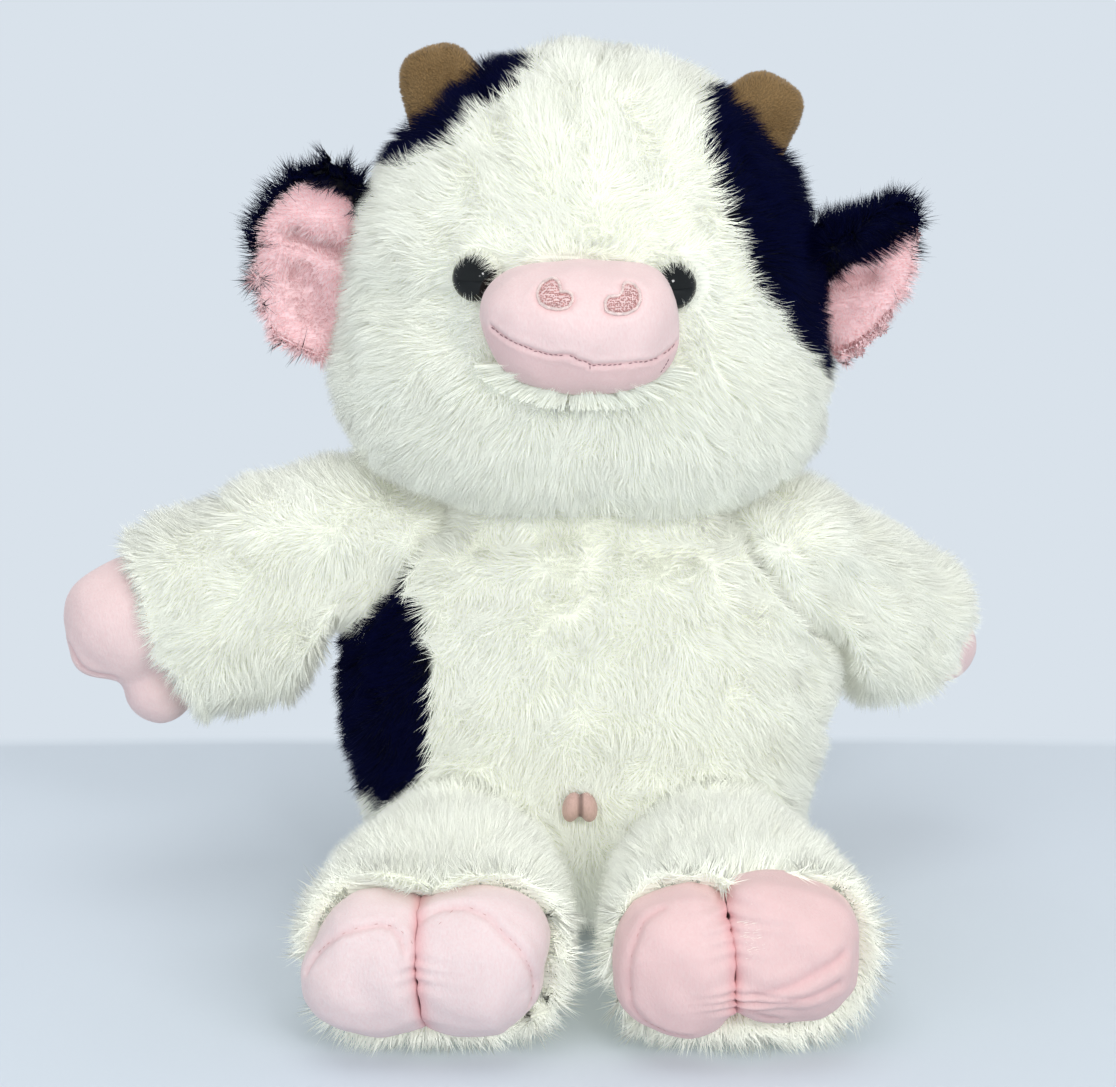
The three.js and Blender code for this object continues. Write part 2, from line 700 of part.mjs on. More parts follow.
function earGroup(name, side) {
  const reach = sideReach(headForm, earPlace.z);
  const slope = (sideReach(headForm, earPlace.z + 5) - sideReach(headForm, earPlace.z - 5)) / 10;
  const hinge = new THREE.Vector3(side * slope, 0, 1).normalize().multiplyScalar(-side);
  const outward = new THREE.Vector3(side, 0, -slope).normalize();
  outward.applyAxisAngle(hinge, radians(earPoses[name].forward));
  const group = new THREE.Group();
  group.position.set(side * (reach - earPlace.sink), earPlace.y, earPlace.z);
  const backward = new THREE.Vector3().crossVectors(outward, hinge);
  group.quaternion.setFromRotationMatrix(new THREE.Matrix4().makeBasis(hinge, backward, outward));
  return group;
}

// One layer of an ear, plump towards the side of its rise, which is -1 for the front
function earLayer({ over, under, drift }, side, width, length, rise) {
  const columns = 10;
  const rows = 6;
  const face = Math.sign(rise);
  const positions = [];
  const index = [];
  const place = (row, column, lift) => {
    const u = row / rows;
    const v = 2 * column / columns - 1;
    const along = width / 2 * earOutline(u) * v;
    const radius = along * side < 0 ? over : under;
    const plump = lift * Math.sqrt(1 - v ** 4) * Math.sqrt(1 - 0.8 * u ** 4);
    const dip = face > 0 ? (width / columns) ** 2 / (8 * radius) : 0; // of a facet under its arc
    const out = radius + face * gap / 2 + dip + plump;
    return [
      out * Math.sin(along / radius) + side * drift * (length * u / earLength) ** 2,
      out * Math.cos(along / radius) - radius,
      length * u,
    ];
  };
  for (const lift of [0, rise]) {
    for (let row = 0; row <= rows; row++) {
      for (let column = 0; column <= columns; column++) positions.push(...place(row, column, lift));
    }
  }
  const at = (layer, row, column) => (layer * (rows + 1) + row) * (columns + 1) + column;
  const quad = (...corners) => {
    const [a, b, c, d] = face > 0 ? corners : corners.reverse();
    index.push(a, b, c, a, c, d);
  };
  for (let row = 0; row < rows; row++) {
    for (let column = 0; column < columns; column++) {
      quad(at(0, row, column), at(0, row, column + 1), at(0, row + 1, column + 1), at(0, row + 1, column));
      quad(at(1, row, column), at(1, row + 1, column), at(1, row + 1, column + 1), at(1, row, column + 1));
    }
  }
  for (let column = 0; column < columns; column++) {
    quad(at(0, 0, column), at(1, 0, column), at(1, 0, column + 1), at(0, 0, column + 1));
    quad(at(0, rows, column), at(0, rows, column + 1), at(1, rows, column + 1), at(1, rows, column));
  }
  const geometry = new THREE.BufferGeometry();
  geometry.setAttribute('position', new THREE.Float32BufferAttribute(positions, 3));
  geometry.setIndex(index);
  return solid(geometry);
}

// Share of an ear's half width at u of its length: a broad leaf on a narrower root
const earOutline = (u) => Math.sin(Math.PI * (0.2 + 0.79 * u)) ** 0.6;

for (const [name, side] of sides) {
  const group = earGroup(name, side);
  head.add(group);
  group.updateMatrixWorld(true);
  const wholeHead = moved(headSolid(3 * gap, headDetail), head.matrixWorld);
  const back = earLayer(earPoses[name], side, earWidth, earLength, earBackThick);
  const lining = earLayer(earPoses[name], side, earWidth - 2 * earRim, earLength - earRim, -earLiningThick);
  group.add(
    meshOf(`ear_back_${name}`, clearOfBody(back, wholeHead, group, earRange), 'navyFur'),
    meshOf(`ear_lining_${name}`, clearOfBody(lining, wholeHead, group, earRange), 'earPink'),
  );
}

// Tail: a soft cord with a tuft, with +Z from the root to the tip and the hinge upright along +X

const tailGroup = new THREE.Group();
const tailOut = new THREE.Vector3(0, Math.cos(radians(tailSize.droop)), -Math.sin(radians(tailSize.droop)));
const tailHinge = new THREE.Vector3(0, Math.sin(radians(tailSize.droop)), Math.cos(radians(tailSize.droop)));
tailGroup.position.set(0, tailRoot.y, tailRoot.z);
tailGroup.quaternion.setFromRotationMatrix(
  new THREE.Matrix4().makeBasis(tailHinge, new THREE.Vector3().crossVectors(tailOut, tailHinge), tailOut),
);
torso.add(tailGroup);
tailGroup.updateMatrixWorld(true);

const tailForm = {
  low: -tailBall / 2, high: tailSize.length, widths: tailSize.thicks, depths: tailSize.thicks,
  round: [2, 2.4], square: 2, lean: 0,
};
const tuftForm = {
  low: tailSize.length - tuftSize.over, high: tailSize.length - tuftSize.over + tuftSize.length,
  widths: tuftSize.thicks, depths: tuftSize.thicks,
  round: [2.4, 2], square: 2, lean: 0,
};
const tailCord = (grow) => stuffed(tailForm, { grow, rows: 8, columns: 10 });
const tailFree = clearOfBody(tailCord(0), wholeTorso, tailGroup, tailRange);
tailGroup.add(
  meshOf('tail_cord', tailFree.add(rootBall(tailBall)), 'whiteFur'),
  meshOf('tail_tuft', stuffed(tuftForm, { rows: 8, columns: 12 }).subtract(tailCord(gap)), 'navyFur'),
);

export default toy;
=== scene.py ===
"""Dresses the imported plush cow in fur, brushed plush, plastic and thread, and sets it in a studio."""

import json
import math

import bmesh
import bpy
import numpy as np
from bpy.props import FloatProperty, FloatVectorProperty, PointerProperty
from mathutils import Matrix, Vector
from mathutils.bvhtree import BVHTree
from mathutils.kdtree import KDTree

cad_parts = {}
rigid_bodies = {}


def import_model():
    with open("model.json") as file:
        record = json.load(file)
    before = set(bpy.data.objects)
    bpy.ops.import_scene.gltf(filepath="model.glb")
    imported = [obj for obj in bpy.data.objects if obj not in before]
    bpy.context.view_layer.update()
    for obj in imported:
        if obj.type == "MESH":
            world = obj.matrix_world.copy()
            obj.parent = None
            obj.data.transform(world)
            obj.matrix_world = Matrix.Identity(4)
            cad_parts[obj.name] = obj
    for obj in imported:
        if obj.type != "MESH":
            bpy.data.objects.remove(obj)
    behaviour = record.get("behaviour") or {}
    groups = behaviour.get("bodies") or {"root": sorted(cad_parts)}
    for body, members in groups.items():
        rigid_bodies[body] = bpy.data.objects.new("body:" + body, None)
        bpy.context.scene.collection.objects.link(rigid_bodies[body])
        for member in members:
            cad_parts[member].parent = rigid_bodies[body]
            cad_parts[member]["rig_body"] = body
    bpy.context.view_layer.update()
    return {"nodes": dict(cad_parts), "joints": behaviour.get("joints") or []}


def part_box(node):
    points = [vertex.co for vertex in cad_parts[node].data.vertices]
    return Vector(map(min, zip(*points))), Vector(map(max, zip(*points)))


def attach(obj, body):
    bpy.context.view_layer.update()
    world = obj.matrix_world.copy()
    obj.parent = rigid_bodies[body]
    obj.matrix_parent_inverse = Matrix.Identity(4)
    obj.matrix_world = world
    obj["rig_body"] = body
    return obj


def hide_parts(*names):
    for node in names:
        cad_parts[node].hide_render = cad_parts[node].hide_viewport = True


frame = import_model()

bl_info = {
    "name": "Plush cow",
    "version": (1, 0, 0),
    "blender": (4, 5, 0),
    "location": "View3D > Sidebar > Plush cow",
    "description": "Fur, plush, plastic and thread for the packed plush cow, and its studio",
    "category": "Object",
}

MM = 0.001
CENTIMETRES = 1e4  # square ones in a square metre
PILE_MAP = "OFBake"  # across the map is a hair's own tone, and up the map is from root to tip
DOWN = np.array((0.0, 0.0, -1.0))
FACE_Y = -0.12  # where a line on the front is looked for when it misses a piece


def shade(red, green, blue):
    """A colour as written for a screen, from 0 to 255, as Blender's linear colour."""
    levels = (red / 255, green / 255, blue / 255)
    return tuple(v / 12.92 if v < 0.04045 else ((v + 0.055) / 1.055) ** 2.4 for v in levels)


# Settings

def length_setting(name, description, default):
    return FloatProperty(name=name, description=description, default=default, min=0, precision=4,
                         unit="LENGTH", subtype="DISTANCE")


def colour_setting(name, description, default):
    return FloatVectorProperty(name=name, description=description, default=default, size=3,
                               min=0, max=1, subtype="COLOR")


class FurSettings(bpy.types.PropertyGroup):
    """The long fur of the body, head and limbs."""

    length: length_setting("Length", "Length of a long hair", 10.0 * MM)
    depth: length_setting("Backing depth", "How far the backing lies under the tips", 6.8 * MM)
    thickness: length_setting("Thickness", "Thickness of a hair at its root", 0.36 * MM)
    clump: length_setting("Tuft width", "Width of the tufts that hairs gather in", 8.5 * MM)
    density: FloatProperty(name="Density", description="Hairs on a square centimetre",
                           default=214, min=1, max=400)
    white: colour_setting("White", "Tips of the white fur", shade(251, 254, 243))
    # Cream and ink, the colours of the roots, are darker than the tips: painted shade deep in the pile.
    cream: colour_setting("Cream", "Roots of the white fur", shade(247, 249, 236))
    knit: colour_setting("Knit", "Cloth under the white fur", shade(240, 242, 230))
    navy: colour_setting("Navy", "Tips of the navy fur", shade(2, 5, 42))
    ink: colour_setting("Ink", "Roots of the navy fur", shade(0, 1, 9))


class PlushSettings(bpy.types.PropertyGroup):
    """The short plush of the muzzle, hooves, toes, ears and horns, and the sewing thread."""

    pink: colour_setting("Pink", "Plush of the muzzle, the hooves and the toes", shade(223, 201, 200))
    faint: colour_setting("Faint pink", "Plush of the toes of the right foot", shade(221, 205, 205))
    rosy: colour_setting("Rosy pink", "Plush of the toes of the left foot", shade(215, 187, 186))
    dusky: colour_setting("Dusky pink", "Plush of the nub on the belly", shade(205, 172, 162))
    # Deep pink is painted shade in folds, seams and clefts and at the roots of the ear pile. It also
    # tints the fine nap and the lower lip.
    deep: colour_setting("Deep pink", "Plush in folds", shade(216, 158, 160))
    ear: colour_setting("Ear pink", "Pile of the ear linings", shade(253, 224, 227))
    horn: colour_setting("Brown", "Pile of the horns", shade(150, 122, 82))
    pale_thread: colour_setting("Pale thread", "Raised edge of the nostrils", shade(246, 226, 222))
    thread: colour_setting("Thread", "Loops inside the nostrils", shade(204, 150, 146))
    dark_thread: colour_setting("Dark thread", "Seam of the mouth", shade(150, 112, 118))
    ear_pile: length_setting("Ear pile", "Length of the pile in the ears", 5.2 * MM)
    horn_pile: length_setting("Horn pile", "Length of the pile on the horns", 1.7 * MM)


class StudioSettings(bpy.types.PropertyGroup):
    """The floor, backdrop, light and camera."""

    floor: colour_setting("Floor", "Colour of the floor", shade(205, 214, 223))
    backdrop: colour_setting("Backdrop", "Colour behind the toy", shade(217, 226, 235))
    key: FloatProperty(name="Key light", description="Power of the large lamp", default=5.8,
                       unit="POWER")
    fill: FloatProperty(name="Fill light", description="Power of the soft lamps", default=3.4,
                        unit="POWER")
    around: FloatProperty(name="Daylight", description="Strength of the light from all round",
                          default=0.66)
    lens: FloatProperty(name="Lens", description="Focal length in millimetres", default=94.9,
                        unit="CAMERA")


# Materials

class Value:
    """A socket of a shader that sums work on: each one adds its Math node."""

    def __init__(self, look, socket):
        self.look = look
        self.socket = socket

    def sum(self, operation, first, second):
        return self.look.add("ShaderNodeMath", {"operation": operation}, {0: first, 1: second})

    def __add__(self, other):
        return self.sum("ADD", self, other)

    def __radd__(self, other):
        return self.sum("ADD", other, self)

    def __sub__(self, other):
        return self.sum("SUBTRACT", self, other)

    def __rsub__(self, other):
        return self.sum("SUBTRACT", other, self)

    def __mul__(self, other):
        return self.sum("MULTIPLY", self, other)

    def __rmul__(self, other):
        return self.sum("MULTIPLY", other, self)

    def __pow__(self, other):
        return self.sum("POWER", self, other)


class Look:
    """A material for one finish, built up from nodes."""

    def __init__(self, name, tree=None):
        if tree is None:
            material = bpy.data.materials.new(name)
            material.use_nodes = True
            tree = material.node_tree
            self.material = material
        tree.nodes.clear()
        self.tree = tree

    def add(self, kind, settings=None, inputs=None, output=0):
        """Adds one node: its settings first, then what its sockets hold or are linked to."""
        node = self.tree.nodes.new(kind)
        for name, value in (settings or {}).items():
            if name == "stops":
                stops = node.color_ramp.elements
                for (position, colour), place in zip(value, range(len(value))):
                    stop = stops[place] if place < 2 else stops.new(position)
                    stop.position = position
                    stop.color = (*colour, 1)
            else:
                setattr(node, name, value)
        for key, value in (inputs or {}).items():
            if isinstance(value, Value):
                self.tree.links.new(value.socket, node.inputs[key])
            else:
                node.inputs[key].default_value = value
        return Value(self, node.outputs[output]) if node.outputs else None

    def mix(self, factor, first, second, blend="MIX"):
        colours = [v if isinstance(v, Value) else (*v, 1) for v in (first, second)]
        return self.add("ShaderNodeMix", {"data_type": "RGBA", "blend_type": blend},
                        {0: factor, 6: colours[0], 7: colours[1]}, output=2)

    def noise(self, where, scale, detail=2.0, roughness=0.5):
        return self.add("ShaderNodeTexNoise", None,
                        {"Vector": where, "Scale": scale, "Detail": detail, "Roughness": roughness})

    def between(self, value, low, high, start=0.0, end=1.0):
        """A value taken from one range to another, and kept within it."""
        return self.add("ShaderNodeMapRange", None, {"Value": value, 1: low, 2: high, 3: start, 4: end})

    def place(self):
        """Where a point of the piece is, in metres."""
        return self.add("ShaderNodeTexCoord", output=3)

    def stretched(self, where, scale, turn=(0, 0, 0)):
        return self.add("ShaderNodeMapping", None, {"Vector": where, "Scale": scale, "Rotation": turn})

    def bump(self, height, distance, strength=1.0, over=None):
        inputs = {"Height": height, "Distance": distance, "Strength": strength}
        if over is not None:
            inputs["Normal"] = over
        return self.add("ShaderNodeBump", None, inputs)

    def finish(self, **sockets):
        """The surface itself, from the names of the shader's sockets with _ for a space."""
        inputs = {name.replace("_", " "): value for name, value in sockets.items()}
        base = inputs["Base Color"]
        if not isinstance(base, Value):
            inputs["Base Color"] = (*base, 1)
        surface = self.add("ShaderNodeBsdfPrincipled", None, inputs)
        self.add("ShaderNodeOutputMaterial", None, {"Surface": surface})
        return self.material


looks = {}


def look_of(name, make, *values, **named):
    """The material of this name, made the first time it is asked for."""
    if name not in looks:
        looks[name] = make(Look(name), *values, **named)
    return looks[name]


def scaled(colour, share):
    return tuple(v * share for v in colour)


WARM = (0.988, 0.99, 0.962)  # what the colour of a worn hair is multiplied by
COLD = (0.7, 0.8, 1.0)
BLUSH = (1.0, 0.93, 0.93)


def pile_look(look, root, tip, worn=WARM, sheen=0.12, gloss=0.2, glow=0.18):
    """Loose hairs: darker at the root, as painted shade deep in the pile, and each with a tone of its
    own. The glow is painted light, standing for the light that real hairs pass on among themselves."""
    pile_map = look.add("ShaderNodeUVMap", {"uv_map": PILE_MAP})
    across = look.add("ShaderNodeSeparateXYZ", None, {0: pile_map})
    up = look.add("ShaderNodeSeparateXYZ", None, {0: pile_map}, output=1)
    # Painted shade: the colour darkens from the tips down to the roots.
    colour = look.mix(look.between(up, 0.1, 0.75), root, tip)
    colour = look.mix(look.between(across, 0.55, 1.0, 0, 0.5), colour, worn, "MULTIPLY")
    pale = look.mix(look.between(across, 0.0, 0.45, 0.35, 0), colour, tip)
    # Painted light: a constant glow in the hair's own colour, though the hair is no lamp.
    return look.finish(Base_Color=pale, Roughness=look.between(across, 0, 1, 0.55, 0.8),
                       Sheen_Weight=sheen, Sheen_Roughness=0.5, Specular_IOR_Level=gloss,
                       Emission_Color=pale, Emission_Strength=glow)


def backing_look(look, pale, dark):
    """The knitted cloth that the hairs stand on, dyed as they are."""
    where = look.place()
    dyed = look.add("ShaderNodeAttribute", {"attribute_name": "dark"}, output=2)
    rows = look.add("ShaderNodeTexWave", {"bands_direction": "Z"},
                    {"Vector": where, "Scale": 210.0, "Distortion": 2.0, "Detail": 1.0})
    mottle = look.noise(where, 160.0)
    cloth = look.mix(look.between(mottle, 0.3, 0.7, 0, 0.6), pale, scaled(pale, 0.94))
    colour = look.mix(dyed, cloth, dark)
    normal = look.bump(rows * 0.6 + mottle * 0.4, 0.3 * MM, 0.8)
    return look.finish(Base_Color=colour, Roughness=0.95, Normal=normal)


def plush_look(look, pink, deep):
    """Short brushed plush: a fine nap, brushed to lie in soft patches painted a little paler as painted
    sheen, and deeper pink in its folds as painted shade.
    """
    where = look.place()
    folds = look.add("ShaderNodeAttribute", {"attribute_name": "fold"}, output=2)
    nap = look.noise(look.stretched(where, (1.0, 1.0, 0.45)), 1500.0, 3.0, 0.6)
    slanted = look.stretched(where, (1.0, 1.0, 0.6), (0.3, 0.4, 0.2))
    brushed = look.noise(slanted, 120.0, 3.0, 0.55)
    soft = look.noise(where, 38.0, 1.0)
    # Painted sheen: the brushed patches are painted a little paler than the pink.
    pale = tuple(min(1.0, v * 1.04 + 0.02) for v in pink)
    colour = look.mix(look.between(brushed * 0.6 + soft * 0.4, 0.38, 0.64), pink, pale)
    colour = look.mix(look.between(nap, 0.3, 0.7, 0.22, 0), colour, deep)
    # Painted shade: where folds are marked on the piece, the pink turns towards deep pink.
    colour = look.mix(folds, colour, deep)
    rough = look.between(brushed, 0.3, 0.7, 0.62, 0.88)
    normal = look.bump(nap, 0.35 * MM, 0.6)
    normal = look.bump(brushed, 0.9 * MM, 0.35, normal)
    return look.finish(Base_Color=colour, Roughness=rough, Normal=normal, Sheen_Weight=0.2,
                       Sheen_Roughness=0.4, Specular_IOR_Level=0.2)


def thread_look(look, colour):
    """Twisted thread."""
    where = look.place()
    twist = look.add("ShaderNodeTexWave", {"bands_direction": "DIAGONAL"},
                     {"Vector": where, "Scale": 900.0, "Distortion": 1.5})
    worn = look.noise(where, 600.0)
    tone = look.mix(look.between(worn, 0.3, 0.7), scaled(colour, 0.72), colour)
    return look.finish(Base_Color=tone, Roughness=look.between(twist, 0, 1, 0.5, 0.75),
                       Normal=look.bump(twist, 0.15 * MM, 0.7), Sheen_Weight=0.2)


def eye_look(look):
    """Polished black plastic with a faint handling haze."""
    where = look.place()
    haze = look.noise(where, 220.0, 3.0)
    dust = look.noise(where, 2600.0, 1.0)
    colour = look.mix(look.between(haze, 0.4, 0.7), shade(2, 3, 3), shade(7, 11, 10))
    rough = look.between(haze + dust * 0.2, 0.4, 0.8, 0.05, 0.1)
    return look.finish(Base_Color=colour, Roughness=rough, Normal=look.bump(haze, 0.02 * MM, 0.15),
                       Specular_IOR_Level=0.35)


def washer_look(look):
    """Moulded plastic with a fine grain."""
    where = look.place()
    grain = look.noise(where, 1800.0, 2.0)
    flow = look.noise(where, 90.0, 2.0)
    colour = look.mix(look.between(flow, 0.35, 0.65), shade(226, 226, 220), shade(240, 240, 235))
    return look.finish(Base_Color=colour, Roughness=look.between(grain, 0.3, 0.7, 0.38, 0.55),
                       Normal=look.bump(grain, 0.05 * MM, 0.4))


# Meshes

def new_piece(name, mesh):
    piece = bpy.data.objects.new(name, mesh)
    bpy.context.scene.collection.objects.link(piece)
    return piece


def from_bmesh(name, form, smooth=True):
    mesh = bpy.data.meshes.new(name)
    form.to_mesh(mesh)
    form.free()
    if smooth:
        mesh.shade_smooth()
    return new_piece(name, mesh)


def applied(piece):
    """Makes what a piece's modifiers show its own mesh."""
    graph = bpy.context.evaluated_depsgraph_get()
    mesh = bpy.data.meshes.new_from_object(piece.evaluated_get(graph), depsgraph=graph)
    before = piece.data
    piece.modifiers.clear()
    piece.data = mesh
    bpy.data.meshes.remove(before)
    mesh.name = piece.name
    mesh.shade_smooth()
    return piece


def evened(piece, voxel, rounds, levels=0):
    """Gives a piece even faces, eases its facets and rounds its edges."""
    remesh = piece.modifiers.new("Even", "REMESH")
    remesh.mode = "VOXEL"
    remesh.voxel_size = voxel
    ease = piece.modifiers.new("Ease", "SMOOTH")
    ease.factor = 0.5
    ease.iterations = rounds
    if levels:
        finer = piece.modifiers.new("Finer", "SUBSURF")
        finer.levels = finer.render_levels = levels
    return applied(piece)


def copy_of(name, nodes):
    """The solids of some CAD nodes as one new piece."""
    form = bmesh.new()
    for node in nodes:
        form.from_mesh(frame["nodes"][node].data)
    bmesh.ops.remove_doubles(form, verts=form.verts, dist=1e-6)
    return from_bmesh(name, form)


def surface_of(nodes):
    """A tree over the faces of CAD nodes, for distances and rays."""
    points, faces = [], []
    for node in nodes:
        mesh = frame["nodes"][node].data
        first = len(points)
        points += [v.co.copy() for v in mesh.vertices]
        faces += [tuple(first + corner for corner in face.vertices) for face in mesh.polygons]
    return BVHTree.FromPolygons(points, faces)


def hull_of(nodes):
    """A tree over the smallest bulging form around CAD nodes."""
    form = bmesh.new()
    for node in nodes:
        form.from_mesh(frame["nodes"][node].data)
    bmesh.ops.delete(form, geom=form.faces[:] + form.edges[:], context="EDGES_FACES")
    bmesh.ops.convex_hull(form, input=form.verts)
    tree = BVHTree.FromBMesh(form)
    form.free()
    return tree


def looked_at(tree, points, normals, reach):
    """How far a tree's faces are in front of each point, up to a reach."""
    free = np.full(len(points), reach)
    for place, (point, normal) in enumerate(zip(points, normals)):
        way = Vector(normal)
        met = tree.ray_cast(Vector(point) - way * MM, way, reach)
        if met[0] is not None:
            free[place] = met[3]
    return free


def spread_out(mesh, values, rounds):
    """Evens values out over the points that edges join."""
    ends = np.empty(len(mesh.edges) * 2, dtype=np.int32)
    mesh.edges.foreach_get("vertices", ends)
    a, b = ends.reshape(-1, 2).T
    for _ in range(rounds):
        total, count = values.copy(), np.ones(len(values))
        for near, far in ((a, b), (b, a)):
            np.add.at(total, near, values[far])
            np.add.at(count, near, 1)
        values = total / count
    return values


def distances(tree, points):
    return np.array([tree.find_nearest(Vector(point))[3] for point in points])


def points_of(mesh):
    points = np.empty(len(mesh.vertices) * 3)
    mesh.vertices.foreach_get("co", points)
    return points.reshape(-1, 3)


def normals_of(mesh):
    normals = np.empty(len(mesh.vertices) * 3)
    mesh.vertex_normals.foreach_get("vector", normals)
    return normals.reshape(-1, 3)


def move_points(mesh, points):
    mesh.vertices.foreach_set("co", points.ravel())
    mesh.update()


def painted(mesh, name, values):
    """Keeps one number at each point of a mesh under a name, for its material and its pile."""
    layer = mesh.attributes.get(name) or mesh.attributes.new(name, "FLOAT", "POINT")
    layer.data.foreach_set("value", np.ascontiguousarray(values, dtype=np.float32))


def values_of(mesh, name):
    values = np.empty(len(mesh.vertices), dtype=np.float32)
    mesh.attributes[name].data.foreach_get("value", values)
    return values.astype(float)


def unit(vectors):
    return vectors / np.maximum(np.linalg.norm(vectors, axis=-1, keepdims=True), 1e-9)


def columns(*values):
    return np.column_stack([np.broadcast_to(v, np.shape(values[0])) for v in values])


def ease(values, low, high):
    """From 0 under the low value to 1 over the high one, with soft ends."""
    t = np.clip((values - low) / (high - low), 0, 1)
    return t * t * (3 - 2 * t)


def ripples(points, seed, size, count=6):
    """Three smooth random numbers at each point, which change over about this size."""
    random = np.random.default_rng(seed)
    ways = unit(random.normal(size=(count, 3))) * 2 * math.pi / size
    ways = ways * random.uniform(0.6, 1.4, (count, 1))
    phases = random.uniform(0, 2 * math.pi, (count, 3))
    waves = points @ ways.T
    return sum(np.sin(waves[:, i:i + 1] + phases[i]) for i in range(count)) / math.sqrt(count / 2)


def wavy(points, normals, seed, size, depth):
    """Gives a stuffed form soft hollows and swellings of about this size."""
    return points + normals * ripples(points, seed, size)[:, :1] * depth


def to_line(points, line):
    """The distance of each point from a run of straight stretches, and how far along it that is."""
    line = np.asarray(line, float)
    best = np.full(len(points), 1e9)
    reached = np.zeros(len(points))
    start_at = 0.0
    for start, end in zip(line[:-1], line[1:]):
        along = end - start
        size = np.linalg.norm(along)
        t = np.clip((points - start) @ along / size ** 2, 0, 1)
        away = np.linalg.norm(points - start - t[:, None] * along, axis=1)
        closer = away < best
        best[closer] = away[closer]
        reached[closer] = start_at + t[closer] * size
        start_at += size
    return best, reached


def tree_of(piece):
    """A tree over a piece's own faces."""
    form = bmesh.new()
    form.from_mesh(piece.data)
    tree = BVHTree.FromBMesh(form)
    form.free()
    return tree


def on_front(tree, x, z):
    """The place and the normal where a line from the front meets a tree's faces."""
    place, normal, _, _ = tree.ray_cast(Vector((x, -1, z)), Vector((0, 1, 0)))
    return place, normal


def evenly_along(line, spacing):
    """Places at even steps along a run of straight stretches."""
    even, left = [line[0]], spacing
    for start, end in zip(line, line[1:]):
        size, walked = (end - start).length, 0.0
        while size - walked >= left:
            walked += left
            left = spacing
            even.append(start.lerp(end, walked / size))
        left -= size - walked
    return even


def traced(tree, outline, spacing=None, closed=False):
    """Places on a piece under a line that is drawn on its front, in millimetres across and up, each
    with its normal."""
    line = [Vector(point) * MM for point in outline]
    if closed:
        line.append(line[0])
    if spacing:
        line = evenly_along(line, spacing)
    places = []
    for x, z in line:
        place, normal = on_front(tree, x, z)
        if place is None:
            place, normal = tree.find_nearest(Vector((x, FACE_Y, z)))[:2]
        places.append((place, normal))
    return places


def drawn_on(piece, outline):
    """Places on a piece under a line that is drawn on its front, without their normals."""
    return [place for place, _ in traced(tree_of(piece), outline)]


def line_at(values, outline):
    """How high an outline, in millimetres, is at some places along it."""
    return np.interp(values, *(np.array(outline) * MM).T)


def pressed(points, normals, line, depth, width, puff=0.35):
    """Draws a seam in along a line, with the stuffing swelling on both its sides, and tells how deep
    each place is in the fold."""
    away, _ = to_line(points, line)
    dip = np.exp(-(away / width) ** 2)
    swell = np.exp(-((away - 2.6 * width) / (1.6 * width)) ** 2)
    return points - normals * (depth * (dip - puff * swell))[:, None], dip


def puckered(points, normals, away, depth, pitch, reach, seed):
    """Gathers the cloth into folds that run out level from an upright seam and fade."""
    along = points[:, 2]
    uneven = ripples(columns(along, 0, 0), seed, 3.5 * pitch)
    wave = np.sin(2 * math.pi * along / pitch + 1.5 * uneven[:, 0] + away / reach)
    fade = np.exp(-(away / reach) ** 1.5) * (0.8 + 0.25 * uneven[:, 1])
    return points + normals * (depth * wave * fade)[:, None]


def nudged(points, nudges, reach):
    """Shifts a piece's places near some marks: each mark is across and up, and then how far they go
    across and up, in millimetres."""
    marks = np.array(nudges, float) * MM
    away = np.linalg.norm(points[:, (0, 2)][:, None] - marks[None, :, :2], axis=2)
    weights = np.exp(-(away / reach) ** 2)
    shifts = (weights / np.maximum(weights.sum(axis=1, keepdims=True), 1)) @ marks[:, 2:]
    return points + columns(shifts[:, 0], 0, shifts[:, 1])


def reach_of(outline, centre, angles):
    """How far a closed outline, in millimetres, is from its centre at some angles, its corners
    eased."""
    around = (np.array(outline) - centre) * MM
    even = np.linspace(-math.pi, math.pi, 180, endpoint=False)
    reach = np.interp(even, np.arctan2(around[:, 1], around[:, 0]), np.linalg.norm(around, axis=1),
                      period=2 * math.pi)
    for _ in range(8):
        reach = (np.roll(reach, 1) + reach + np.roll(reach, -1)) / 3
    return np.interp(angles, even, reach, period=2 * math.pi)


def stuffed_balls(name, balls):
    """Overlapping balls, each given by its middle and half its sizes in millimetres."""
    form = bmesh.new()
    for middle, sizes in balls:
        place = Matrix.Translation(Vector(middle) * MM) @ Matrix.Diagonal((*(Vector(sizes) * MM), 1))
        bmesh.ops.create_uvsphere(form, u_segments=32, v_segments=24, radius=1, matrix=place)
    return from_bmesh(name, form)


def sewn(name, stitches, width, height):
    """Stitches as one piece: each has two ends and the normal of the cloth that it lies on."""
    form = bmesh.new()
    for start, end, normal in stitches:
        along = end - start
        side = along.cross(normal).normalized()
        up = side.cross(along).normalized()
        turn = Matrix((along.normalized(), side, up)).transposed().to_4x4()
        size = Matrix.Diagonal((along.length / 2, width / 2, height / 2, 1))
        bmesh.ops.create_uvsphere(form, u_segments=8, v_segments=5, radius=1,
                                  matrix=Matrix.Translation((start + end) / 2) @ turn @ size)
    return from_bmesh(name, form)


def seam_stitches(places, long, short, lift):
    """Running stitches of one length with gaps of another along even places."""
    stitches = []
    for (start, normal), (end, _) in zip(places, places[1:]):
        inset = (end - start) * (short / (long + short) / 2)
        stitches.append((start + inset + normal * lift, end - inset + normal * lift, normal))
    return stitches


# Stuffed skins and the hairs on them

